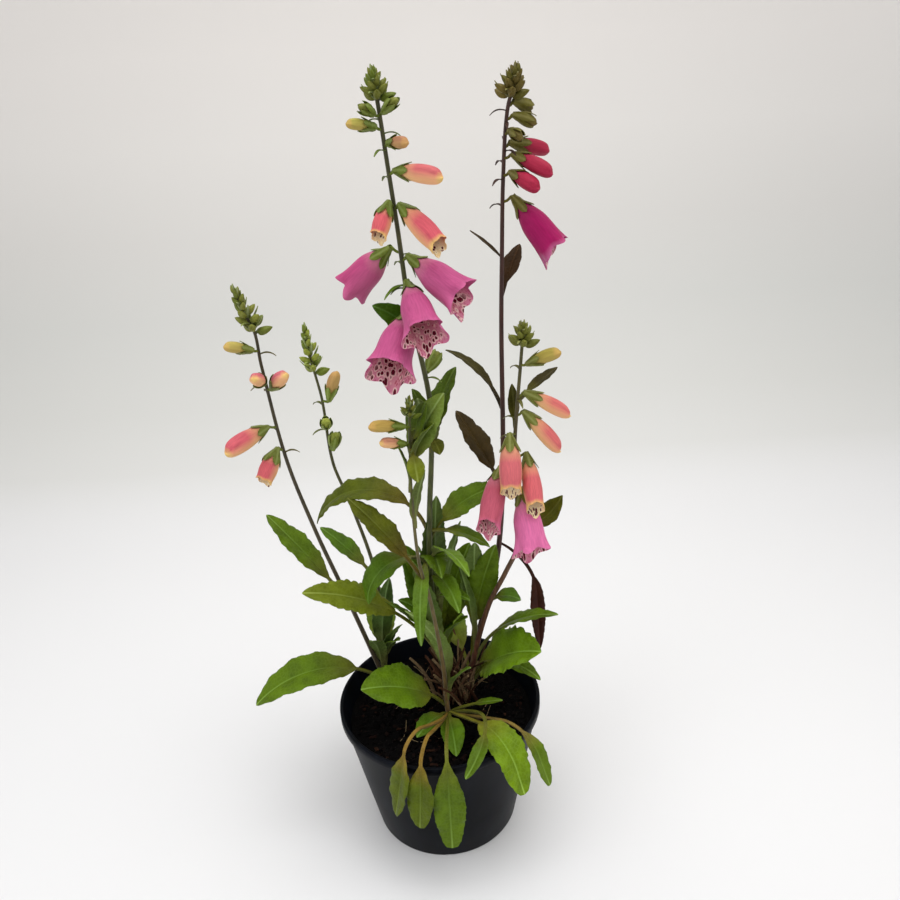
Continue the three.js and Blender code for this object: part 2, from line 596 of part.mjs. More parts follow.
        footstalk: 12 },
      { kind: 'bell', at: 313, turn: -50, droop: 74, long: 48, wide: 29, petal: 'pink', footstalk: 9 },
    ],
    leaves: [
      { at: 384, turn: 32, rise: 29, bend: 10, long: 41, wide: 10, steps: 4 },
      { at: 358, turn: 95, rise: 79, bend: 8, long: 36, wide: 8, steps: 4 },
      { at: 281, turn: 40, rise: 11, bend: 20, long: 51, wide: 20 },
      { at: 202, turn: -12, rise: 21, bend: 30, long: 26, wide: 16, steps: 4 },
      { at: 125, turn: -23, rise: 77, bend: 70, long: 111, wide: 20, stalk: 0.45 },
      { at: 118, turn: -18, rise: 89, bend: 20, long: 136, wide: 26, stalk: 0.4, roll: 100 },
      { at: 150, turn: -77, rise: 98, bend: 25, long: 107, wide: 24 },
      { at: 106, turn: -37, rise: 66, bend: 50, long: 99, wide: 52, roll: 28, fold: 24 },
      { at: 120, turn: -34, rise: 60, bend: 95, long: 78, wide: 20 },
      { at: 112, turn: 112, rise: 55, bend: 75, long: 105, wide: 30 },
    ],
  },
  left: {
    guide: [
      [-42, 39, 88], [-49, 38, 108], [-65, 32, 173], [-76, 28, 217], [-90, 22, 274],
      [-103, 14, 342], [-109, 5, 421], [-110, 4, 446], [-116, 2, 463], [-119, 1, 475],
    ],
    foot: 2.4, top: 1, material: leafGreen,
    tip: { from: 446, buds: 7, size: 9, spread: 4 },
    flowers: [
      { kind: 'bud', at: 434, turn: -143, droop: -24, long: 22, wide: 10, petal: 'yellow' },
      { kind: 'bud', at: 409, turn: -95, droop: -34, long: 20, wide: 10, petal: 'salmon' },
      { kind: 'bud', at: 404, turn: -36, droop: -44, long: 20, wide: 11, petal: 'salmon' },
      { kind: 'bud', at: 373, turn: -134, droop: 9, long: 38, wide: 15, petal: 'salmon' },
      { kind: 'tube', at: 353, turn: -128, droop: 46, long: 24, wide: 14, petal: 'salmon' },
    ],
    leaves: [
      { at: 200, turn: 155, rise: 50, bend: 10, long: 101, wide: 32 },
      { at: 107, turn: -165, rise: 52, bend: 98, long: 130, wide: 38, roll: -15 },
    ],
  },
  small: {
    guide: [
      [-44, 47, 88], [-52, 48, 132], [-48, 52, 184], [-51, 54, 222], [-64, 54, 281],
      [-74, 52, 320], [-76, 50, 375], [-80, 50, 404], [-83, 50, 432],
    ],
    foot: 2.2, top: 0.9, material: leafGreen,
    tip: { from: 398, buds: 7, size: 9, spread: 3 },
    flowers: [
      { kind: 'bud', at: 376, turn: -10, droop: -66, long: 21, wide: 10, petal: 'yellow' },
      { kind: 'green', at: 354, turn: -81, droop: -42, long: 18, wide: 8 },
      { kind: 'green', at: 335, turn: -50, droop: -69, long: 17, wide: 9 },
    ],
    leaves: [
      { at: 205, turn: 151, rise: 49, bend: 25, long: 68, wide: 25 },
      { at: 112, turn: -57, rise: 88, bend: 60, long: 64, wide: 18 },
      { at: 110, turn: 95, rise: 60, bend: 70, long: 95, wide: 28 },
    ],
  },
};

// Stem points from the soil to the tip, and the stem's radius at each.
function stemLine({ guide, foot, top }) {
  const low = guide[0][2];
  const high = guide[guide.length - 1][2];
  const points = guide.map((place) => new THREE.Vector3(...place));
  const radii = guide.map(([, , z]) => foot + (top - foot) * ((z - low) / (high - low)) ** 0.8);
  return { points, radii };
}

const stemSides = 5;

// The hole that a stem stands in: its own first stretch, wider and deeper by the gap.
function stemHole(shoot) {
  const [foot, above] = stemLine(shoot).points;
  const along = above.clone().sub(foot).normalize();
  const low = foot.clone().addScaledVector(along, -gap);
  return bar([low, above], Array(2).fill(shoot.foot + 2 * gap), stemSides);
}

const plant = new THREE.Group();
plant.add(named(potBody(), 'pot', potPlastic));

let soil = soilBody();
for (const [name, shoot] of Object.entries(shoots)) {
  soil = soil.subtract(stemHole(shoot));
  const { points, radii } = stemLine(shoot);
  const bodies = [bar(points, radii, stemSides), ...tipBodies(shoot.guide, shoot.tip)];
  for (const leaf of shoot.leaves) bodies.push(leafBody(shoot.guide, leaf));
  shoot.flowers.forEach((given, i) => {
    const flower = placed(shoot.guide, { bract: i % 2 === 0 ? bractLength : 0, ...given });
    bodies.push(...flowerSeat(shoot.guide, flower, i));
    if (given.kind === 'green') {
      bodies.push(budBody(flower));
      return;
    }
    const corolla = given.kind === 'bud' ? budBody(flower) : openBody(flower);
    plant.add(named(corolla, `${given.kind}_${name}_${i + 1}`, petals[given.petal]));
  });
  plant.add(named(whole(wasm.Manifold.union(bodies)), `shoot_${name}`, shoot.material));
}
plant.add(named(whole(soil), 'soil', pottingBark));

export default plant;
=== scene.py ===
# A foxglove in a round plastic nursery pot: six flowering shoots with their leaves, buds and
# bells, standing in bark potting mix. Metres, +Z up, with the origin at the middle of the pot's
# underside and the front towards -Y. Shapes are worked out in millimetres.

import bpy
import numpy as np
from mathutils import Matrix, Vector


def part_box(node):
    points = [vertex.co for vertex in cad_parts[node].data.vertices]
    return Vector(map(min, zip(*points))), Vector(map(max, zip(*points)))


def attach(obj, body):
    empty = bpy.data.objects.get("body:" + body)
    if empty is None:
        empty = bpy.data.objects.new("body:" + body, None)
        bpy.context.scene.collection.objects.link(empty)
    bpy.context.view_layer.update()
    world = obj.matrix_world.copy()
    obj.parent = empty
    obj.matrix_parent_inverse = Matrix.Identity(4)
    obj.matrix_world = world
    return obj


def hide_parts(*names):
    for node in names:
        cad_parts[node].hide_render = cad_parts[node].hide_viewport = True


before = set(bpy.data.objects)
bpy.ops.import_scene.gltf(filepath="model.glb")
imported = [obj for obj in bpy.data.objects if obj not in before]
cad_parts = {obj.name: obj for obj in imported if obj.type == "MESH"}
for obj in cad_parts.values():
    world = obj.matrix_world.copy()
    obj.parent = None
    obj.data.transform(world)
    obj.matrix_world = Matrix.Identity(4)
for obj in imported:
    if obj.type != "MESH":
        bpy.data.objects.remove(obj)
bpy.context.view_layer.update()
mm = 0.001

# ---------------------------------------------------------------- the pot
# A tapered nursery pot, injection moulded in one piece of charcoal polypropylene, with a plain
# collar round the rim. Its flat underside has a ring of drains, each with a channel that runs
# out under the wall.

pot_high = np.array(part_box("pot")[1]) / mm
pot_rim, pot_height = pot_high[0], pot_high[2]
pot_foot = 61.5
pot_wall = 1.6
pot_floor = 4
collar_height, collar_step = 7.5, 2.6
drain_count, drain_radius, drain_ring = 6, 5, 45.5
channel_width, channel_depth = 6, 1.2


def paint(code):
    """Linear red, green, blue and alpha of an sRGB hex colour."""
    shares = [int(code[i : i + 2], 16) / 255 for i in (1, 3, 5)]
    linear = [s / 12.92 if s <= 0.04045 else ((s + 0.055) / 1.055) ** 2.4 for s in shares]
    return np.array([*linear, 1])


def add(tree, kind, inputs=None, stops=(), **settings):
    """Add a node with its settings. Each input takes a value, a node or a node's output, and
    stops are the (place, colour) pairs of a ramp. Given a node, it only sets its inputs."""
    node = tree.nodes.new("ShaderNode" + kind) if isinstance(kind, str) else kind
    for key, value in settings.items():
        setattr(node, key, value)
    for key, value in (inputs or {}).items():
        named = [s for s in node.inputs if s.enabled and s.name == key]
        socket = node.inputs[key] if isinstance(key, int) else named[0]
        if isinstance(value, bpy.types.Node):
            value = next(s for s in value.outputs if s.enabled)
        if isinstance(value, bpy.types.NodeSocket):
            tree.links.new(value, socket)
        else:
            socket.default_value = value
    if stops:
        ramp = node.color_ramp.elements
        while len(ramp) < len(stops):
            ramp.new(1)
        for element, (place, code) in zip(ramp, stops):
            element.position, element.color = place, paint(code)
    return node


def finish(name, constants):
    """A material's node tree and shader, with the shader's constant sockets set."""
    material = bpy.data.materials.new(name)
    material.use_nodes = True
    shader = material.node_tree.nodes["Principled BSDF"]
    for key, value in constants.items():
        shader.inputs[key].default_value = value
    return material, material.node_tree, shader


def tube(rings, **marks):
    """Closed surface through rings of points, in an array (ring, point, xyz): neighbouring
    rings are joined by four-sided faces, and the first and last ring are each shut by a flat
    face. If its signed volume is negative, every face is turned round. Marks are values for
    each point, kept with the surface, and those with three numbers are vectors."""
    count, around = rings.shape[:2]
    i, j = np.meshgrid(np.arange(count - 1), np.arange(around), indexing="ij")
    a, b = i * around + j, i * around + (j + 1) % around
    quads = np.stack([a, b, b + around, a + around], -1).reshape(-1, 4)
    points = rings.reshape(-1, 3)
    corner = points[quads] - points.mean(0)
    areas = np.cross(corner[:, 2] - corner[:, 0], corner[:, 3] - corner[:, 1])
    ends = [np.arange(around)[::-1], np.arange(around) + (count - 1) * around]
    if np.sum(areas * corner.mean(1)) < 0:
        quads, ends = quads[:, ::-1], [end[::-1] for end in ends]
    kept = {}
    for key, value in marks.items():
        value = np.asarray(value, float)
        shape = (count, around, 3) if value.shape[-1:] == (3,) else (count, around)
        kept[key] = np.broadcast_to(value, shape).reshape(len(points), -1)
    return {
        "points": points,
        "corners": np.concatenate([quads.ravel(), *ends]),
        "sizes": np.concatenate([np.full(len(quads), 4), [around, around]]),
        "marks": kept,
    }


def mesh_of(name, surfaces):
    """One mesh in metres from surfaces in millimetres: their points, faces and marks are put
    end to end, and it is shaded smooth except across sharp edges."""
    first = np.cumsum([0] + [len(s["points"]) for s in surfaces])
    sizes = np.concatenate([s["sizes"] for s in surfaces])
    corners = np.concatenate([s["corners"] + k for s, k in zip(surfaces, first)])
    mesh = bpy.data.meshes.new(name)
    mesh.vertices.add(first[-1])
    mesh.vertices.foreach_set("co", np.concatenate([s["points"] for s in surfaces]).ravel() * mm)
    mesh.loops.add(len(corners))
    mesh.loops.foreach_set("vertex_index", corners.astype(np.int32))
    mesh.polygons.add(len(sizes))
    mesh.polygons.foreach_set("loop_start", (np.cumsum(sizes) - sizes).astype(np.int32))
    for key in surfaces[0]["marks"]:
        values = np.concatenate([s["marks"][key] for s in surfaces])
        kind, field = ("FLOAT_VECTOR", "vector") if values.shape[1] == 3 else ("FLOAT", "value")
        mesh.attributes.new(key, kind, "POINT").data.foreach_set(field, values.ravel())
    mesh.update(calc_edges=True)
    mesh.shade_smooth()
    mesh.set_sharp_from_angle(angle=np.radians(50))
    return mesh


def stand(name, data):
    """An object that shows a mesh, a lamp or a lens, put in the scene."""
    made = bpy.data.objects.new(name, data)
    bpy.context.collection.objects.link(made)
    return made


def piece(name, surfaces, material, slot, *nodes):
    """One object from surfaces, which stands for some of the CAD nodes."""
    mesh = mesh_of(name, surfaces)
    mesh.materials.append(material)
    made = stand(name, mesh)
    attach(made, "root")
    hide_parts(*nodes)
    return made


def circle(sides):
    """Angles evenly spaced round a circle."""
    return np.linspace(0, 2 * np.pi, sides, endpoint=False)


def turned(profile, sides):
    """Profile points (radius, height) carried round the Z axis: x = r cos a, y = r sin a."""
    radius, height = profile[:, :1], profile[:, 1:]
    x, y = radius * np.cos(circle(sides)), radius * np.sin(circle(sides))
    return tube(np.stack([x, y, height + 0 * x], -1))


def polypropylene():
    """Charcoal polypropylene, injection moulded: a satin skin with a fine grain, paler where
    dust and old water marks lie on it."""
    constants = {"Roughness": 0.42, "IOR": 1.49, "Specular IOR Level": 0.06}
    material, tree, shader = finish("moulded_polypropylene", constants)
    place = add(tree, "TexCoord").outputs["Object"]
    streaked = add(tree, "Mapping", {"Vector": place, "Scale": (1, 1, 0.25)})
    dust = add(tree, "TexNoise", {"Vector": streaked, "Scale": 1 / (14 * mm), "Detail": 6})
    stops = [(0.35, "#06070A"), (0.6, "#0A0D14"), (0.85, "#13171F")]
    tint = add(tree, "ValToRGB", {"Fac": dust}, stops)
    grain = add(tree, "TexNoise", {"Vector": place, "Scale": 1 / (0.7 * mm), "Detail": 3})
    bump = add(tree, "Bump", {"Height": grain, "Strength": 0.12, "Distance": 0.3 * mm})
    add(tree, shader, {"Base Color": tint, "Normal": bump})
    return material


foot_slope = (pot_rim - collar_step - pot_foot) / (pot_height - collar_height)
inner_foot, inner_rim = pot_foot - pot_wall, pot_rim - 2 * pot_wall
pot_profile = np.array(
    [
        (0.4, 0), (40, 0), (pot_foot - 1.6, 0), (pot_foot - 0.5, 0.4), (pot_foot, 1.4),
        (pot_foot + 40 * foot_slope, 40), (pot_foot + 80 * foot_slope, 80),
        (pot_rim - collar_step, pot_height - collar_height - 1.5),
        (pot_rim - collar_step + 0.2, pot_height - collar_height - 0.9),
        (pot_rim - 0.5, pot_height - collar_height), (pot_rim, pot_height - collar_height + 0.6),
        (pot_rim, pot_height - 0.8), (pot_rim - 0.5, pot_height - 0.1),
        (pot_rim - 1.2, pot_height), (inner_rim + 0.6, pot_height), (inner_rim, pot_height - 0.6),
        ((inner_rim + inner_foot) / 2, (pot_height + pot_floor) / 2),
        (inner_foot, pot_floor), (30, pot_floor), (0.4, pot_floor),
    ]
)
pot = piece("nursery_pot", [turned(pot_profile, 144)], polypropylene(), "pot_plastic", "pot")
cutters = []
for i in range(drain_count):
    turn = 2 * np.pi * (i + 0.5) / drain_count
    ahead = np.array([np.cos(turn), np.sin(turn), 0])
    aside = np.array([-np.sin(turn), np.cos(turn), 0])
    drain = turned(np.array([(drain_radius, -2), (drain_radius, 2 * pot_floor)]), 24)
    drain["points"] = drain["points"] + drain_ring * ahead
    ends = np.array([drain_ring, pot_foot + 3])[:, None, None] * ahead
    corners = np.array([(-0.5, -2), (0.5, -2), (0.5, channel_depth), (-0.5, channel_depth)])
    corners = corners[:, :1] * channel_width * aside + corners[:, 1:] * np.array([0, 0, 1])
    cutters += [drain, tube(ends + corners)]
cutter = stand("drain_cutter", mesh_of("drain_cutter", cutters))
cut = pot.modifiers.new("drains", "BOOLEAN")
cut.operation, cut.solver, cut.use_self, cut.object = "DIFFERENCE", "EXACT", True, cutter
bpy.context.view_layer.update()
finished = bpy.data.meshes.new_from_object(pot.evaluated_get(bpy.context.evaluated_depsgraph_get()))
pot.modifiers.clear()
pot.data = finished
bpy.data.objects.remove(cutter)

# ---------------------------------------------------------------- the potting mix
# Peat and composted bark, pressed level just below the rim and gone nearly black with water.
# Loose chips of bark lie on it, with a few pale rootlets and, at the crown, the dry brown
# stubs of old leaf stalks.

soil_level, soil_low = 101, pot_floor + 0.3
mix_gap, mix_sides, mix_rings = 0.9, 220, 72
chip_count, rootlet_count, stub_count = 900, 14, 80
soil_share = (soil_level - pot_floor) / (pot_height - pot_floor)
soil_rim = inner_foot + (inner_rim - inner_foot) * soil_share
chance = np.random.default_rng(7)


def heading(turn, rise):
    """Unit vectors `turn` degrees round from +X and `rise` degrees above level."""
    turn, rise = np.broadcast_arrays(np.radians(turn), np.radians(rise))
    level = np.cos(rise)
    return np.stack([level * np.cos(turn), level * np.sin(turn), np.sin(rise)], -1)


def soil_height(x, y):
    """Two low waves crossing each other, which die out at the pot's wall."""
    edge = 1 - (np.hypot(x, y) / pot_rim) ** 4
    waves = 1.3 * np.sin(0.13 * x + 1) * np.cos(0.11 * y) + 0.9 * np.sin(0.29 * x - 0.23 * y + 2)
    return soil_level + edge * waves


def crumble(x, y):
    """Crumbs: eighteen sine waves of 3 to 12 mm in seeded directions, added together."""
    turn = chance.uniform(0, 2 * np.pi, 18)
    length = chance.uniform(3, 12, 18)
    across = np.multiply.outer(x, np.cos(turn)) + np.multiply.outer(y, np.sin(turn))
    return np.sum(0.05 * length * np.sin(2 * np.pi * across / length + 5 * turn), -1)


def rod(path, radius, sides, bent=0, **marks):
    """Round bar along a path of points: at each, a circle across the path's direction. Its
    first radius vector is a fixed direction square to the path's chord, made square to the
    path. Bent is the height of five ridges along the bar, as a share of its radius."""
    along = np.gradient(path, axis=0)
    along /= np.linalg.norm(along, axis=1, keepdims=True)
    chord = path[-1] - path[0]
    first = np.cross(chord, np.eye(3)[np.argmin(np.abs(chord))])
    first = first - along * (along @ first)[:, None]
    first /= np.linalg.norm(first, axis=1, keepdims=True)
    second = np.cross(along, first)
    angle = circle(sides)[None, :, None]
    radius = np.broadcast_to(radius, len(path))[:, None, None] * (1 + bent * np.cos(5 * angle))
    ring = np.cos(angle) * first[:, None] + np.sin(angle) * second[:, None]
    return tube(path[:, None] + radius * ring, **marks)


def potting_bark():
    """Wet peat and bark: nearly black, matt, with a gleam of water on the crumbs. The tone
    mark runs from peat to the red-brown of freshly broken bark and the straw of roots."""
    constants = {"Roughness": 0.75, "IOR": 1.45, "Specular IOR Level": 0.08}
    material, tree, shader = finish("wet_potting_bark", constants)
    place = add(tree, "TexCoord").outputs["Object"]
    tone = add(tree, "Attribute", attribute_name="tone").outputs["Fac"]
    crumb = add(tree, "TexNoise", {"Vector": place, "Scale": 1 / (4 * mm), "Detail": 8})
    mixed = add(tree, "Math", {0: crumb, 1: 0.25, 2: tone}, operation="MULTIPLY_ADD")
    stops = [(0.1, "#030202"), (0.28, "#090504"), (0.5, "#1C0E0A"), (0.75, "#4A2F20"),
             (1, "#93805F")]
    tint = add(tree, "ValToRGB", {"Fac": mixed}, stops)
    fine = add(tree, "TexNoise", {"Vector": place, "Scale": 1 / (1.2 * mm), "Detail": 6})
    bump = add(tree, "Bump", {"Height": fine, "Strength": 0.7, "Distance": 1 * mm})
    add(tree, shader, {"Base Color": tint, "Normal": bump})
    return material


bark = potting_bark()
around = circle(mix_sides)
share = np.concatenate([np.linspace(1, 0.05, mix_rings), [0.01]])[:, None]
edge = soil_rim - mix_gap
x, y = edge * share * np.cos(around), edge * share * np.sin(around)
top = soil_height(x, y) + crumble(x, y) * np.minimum(1, 6 * (1 - share))
low = np.array([0.01, 0.5, 1])[:, None] * (inner_foot - mix_gap)
bottom = [low * np.cos(around), low * np.sin(around), soil_low + 0 * low * around]
rings = np.concatenate([np.stack(bottom, -1), np.stack([x, y, top], -1)])

surfaces = [tube(rings, tone=0)]
for i in range(chip_count):
    turn, out = chance.uniform(0, 360), (edge - 5) * chance.uniform(0.01, 1) ** 0.5
    size = chance.uniform(2, 4.5) ** 1.35, chance.uniform(1.5, 3.5), chance.uniform(0.6, 1.6)
    square = (-1, -1), (1, -1), (1, 1), (-1, 1)
    corners = np.array([(a, b, c) for a in (-1, 1) for b, c in square]) * size
    corners = corners / 2 * chance.uniform(0.5, 1.2, (8, 3))
    tilt = Matrix.Rotation(chance.uniform(0, 6.3), 3, "Z")
    tilt = tilt @ Matrix.Rotation(chance.normal(0, 0.3), 3, "X")
    spot = out * heading(turn, 0)
    spot[2] = soil_height(spot[0], spot[1]) + 0.6
    chip = (corners @ np.array(tilt).T + spot).reshape(2, 4, 3)
    surfaces.append(tube(chip, tone=chance.uniform(0, 1) ** 3 * 0.5))
for i in range(rootlet_count):
    spot = (edge - 22) * chance.uniform(0.3, 1) ** 0.5 * heading(chance.uniform(0, 360), 0)
    reach = np.linspace(-0.5, 0.5, 15) * chance.uniform(14, 38)
    turn = chance.uniform(0, 360)
    path = spot + reach[:, None] * heading(turn, 0)
    path += 1.5 * np.sin(reach / 7 + i)[:, None] * heading(turn + 90, 0)
    path[:, 2] = soil_height(path[:, 0], path[:, 1]) + 1.6 + 0.9 * np.sin(reach / 5 + i)
    surfaces.append(rod(path, 0.26, 5, tone=chance.uniform(0.75, 0.95)))
for i in range(stub_count):
    spot = np.array([chance.normal(13, 8), chance.normal(20, 10), 0])
    spot[2] = soil_height(spot[0], spot[1]) - 2
    turn, rise = chance.uniform(0, 360), chance.uniform(62, 88)
    reach = np.linspace(0, chance.uniform(18, 52), 12)
    path = spot + reach[:, None] * heading(turn, rise)
    path += 0.006 * (reach**2)[:, None] * heading(turn + chance.uniform(-60, 60), -20)
    radius = chance.uniform(0.9, 1.9) * (1 - 0.4 * reach / reach[-1])
    surfaces.append(rod(path, radius, 7, 0.15, tone=chance.uniform(0.45, 0.8)))
piece("potting_mix", surfaces, bark, "potting_bark", "soil")

# ---------------------------------------------------------------- the six stems
# Upright herbaceous stems from one crown, round, downy and slightly ribbed, tapering to the
# tip of each spike. They are stained wine-brown where the sun reaches them and green above.

# Each guide is a row of places (x, y, z) on the stem from the soil up; foot and top are its
# radii, and low and high its colours there.
stems = dict(
    centre=dict(
        guide=[
            (10, 25, 88), (2, 28, 145), (-1, 20, 222), (2, 12, 283), (8, 6, 350), (9, 4, 387),
            (2, 0, 441), (-1, -1, 463), (-4, -4, 511), (-7, -8, 552), (-10, -10, 591),
            (-12, -10, 606),
        ],
        foot=3, top=1.3, low="#5E6B2C", high="#4E4A26",
    ),
    middle=dict(
        guide=[
            (8, -1, 88), (6, -4, 108), (5, -10, 159), (-1, -20, 230), (-7, -25, 268),
            (-8, -30, 330), (-6, -32, 372), (-4, -32, 402),
        ],
        foot=2.7, top=0.9, taper=0.45, low="#86683E", high="#5A5E2A",
    ),
    dark=dict(
        guide=[
            (18, 51, 88), (24, 48, 103), (40, 42, 162), (55, 34, 229), (61, 28, 289),
            (63, 26, 342), (64, 20, 432), (66, 18, 489), (68, 16, 536), (72, 14, 580),
            (79, 12, 602),
        ],
        foot=2.8, top=1.2, low="#5A2A20", high="#4A2C22",
    ),
    short=dict(
        guide=[
            (26, 29, 88), (31, 30, 130), (46, 20, 194), (61, 14, 230), (71, 10, 257),
            (71, 6, 299), (70, 4, 343), (72, 1, 376), (75, 0, 407), (78, 0, 438),
        ],
        foot=2.8, top=1.1, low="#7E4434", high="#5A5A2A",
    ),
    left=dict(
        guide=[
            (-42, 39, 88), (-49, 38, 108), (-65, 32, 173), (-76, 28, 217), (-90, 22, 274),
            (-103, 14, 342), (-109, 5, 421), (-110, 4, 446), (-116, 2, 463), (-119, 1, 475),
        ],
        foot=2.4, top=1, low="#5C4E36", high="#4A4226",
    ),
    small=dict(
        guide=[
            (-44, 47, 88), (-52, 48, 132), (-48, 52, 184), (-51, 54, 222), (-64, 54, 281),
            (-74, 52, 320), (-76, 50, 375), (-80, 50, 404), (-83, 50, 432),
        ],
        foot=2.2, top=0.9, low="#5C5630", high="#5E5F30",
    ),
)


def smooth(knots, values, x):
    """Cubic through (knot, value) pairs. The slope at a knot is the rise between its two
    neighbours over their distance, and the ends take the slope of their own span."""
    knots, values = np.asarray(knots, float), np.asarray(values, float)
    i = np.clip(np.searchsorted(knots, x, side="right") - 1, 0, len(knots) - 2)
    span = knots[i + 1] - knots[i]
    t = np.clip((x - knots[i]) / span, 0, 1)
    padded, beyond = np.pad(knots, 1, "edge"), np.pad(values, 1, "edge")
    slope = (beyond[2:] - beyond[:-2]) / (padded[2:] - padded[:-2])
    return (
        (2 * t**3 - 3 * t**2 + 1) * values[i] + (t**3 - 2 * t**2 + t) * span * slope[i]
        + (3 * t**2 - 2 * t**3) * values[i + 1] + (t**3 - t**2) * span * slope[i + 1]
    )


def stem_at(name, z):
    """Places on a stem at given heights."""
    x, y, heights = np.array(stems[name]["guide"], float).T
    z = np.asarray(z, float)
    return np.stack([smooth(heights, x, z), smooth(heights, y, z), z], -1)


def downy_stem():
    """Living stem under short pale down: a soft satin, faintly streaked along its length. The
    tint mark gives each stem its stain."""
    constants = {"Roughness": 0.55, "IOR": 1.45, "Sheen Weight": 0.25, "Sheen Roughness": 0.4}
    material, tree, shader = finish("downy_green_stem", constants)
    place = add(tree, "TexCoord").outputs["Object"]
    tint = add(tree, "Attribute", attribute_name="tint").outputs["Color"]
    drawn = add(tree, "Mapping", {"Vector": place, "Scale": (1, 1, 0.12)})
    streak = add(tree, "TexNoise", {"Vector": drawn, "Scale": 1 / (1.5 * mm), "Detail": 4})
    gain = add(tree, "ValToRGB", {"Fac": streak}, [(0.3, "#9C9C9C"), (0.7, "#F2F2F2")])
    mixed = add(tree, "Mix", {"Factor": 1.0, "A": tint, "B": gain},
                data_type="RGBA", blend_type="MULTIPLY")
    down = add(tree, "TexNoise", {"Vector": place, "Scale": 1 / (0.6 * mm), "Detail": 3})
    bump = add(tree, "Bump", {"Height": down, "Strength": 0.35, "Distance": 0.4 * mm})
    add(tree, shader, {"Base Color": mixed, "Normal": bump})
    return material


stem_skin = downy_stem()
stem_rings, stem_sides = 110, 20
foliage = {name: "dark_foliage" if name == "dark" else "leaf_green" for name in stems}
for name, stem in stems.items():
    low, high = stem["guide"][0][2], stem["guide"][-1][2]
    z = np.linspace(low, high, stem_rings)
    share = ((z - low) / (high - low))[:, None, None]
    radius = stem["foot"] + (stem["top"] - stem["foot"]) * share.ravel() ** stem.get("taper", 0.8)
    stain = (1 - share) * paint(stem["low"])[:3] + share * paint(stem["high"])[:3]
    surface = rod(stem_at(name, z), radius, stem_sides, 0.05, tint=stain)
    piece(f"stem_{name}", [surface], stem_skin, foliage[name], f"shoot_{name}")

# ---------------------------------------------------------------- the leaves
# Soft lance-shaped leaves, puckered between their veins and toothed along the edge, on channelled
# stalks that widen into the blade. Those at the crown are large and arch over the pot's rim.

# How each leaf grows: `at` is its height on the stem, `turn` its compass angle from +X, `rise`
# its angle above level, which falls by `bend` between the shares `start` and `start + span` of
# its length, and `sway` how far it swings round. `stalk` is the bare share of its length, and
# `neck` and `point` say how slender the blade is at its foot and tip.
leaf_habit = dict(start=0, span=1, sway=0, roll=0, fold=14, stalk=0.25, belly=0.85, neck=0.8,
                  point=0.65, teeth=0.08, tint="#5A750A", stalk_tint="#6E6A2C")


def sprout(at, turn, rise, bend, long, wide, **habit):
    """A leaf of a given place and size, with the usual habit where no other is given."""
    size = dict(at=at, turn=turn, rise=rise, bend=bend, long=long, wide=wide)
    return leaf_habit | size | habit


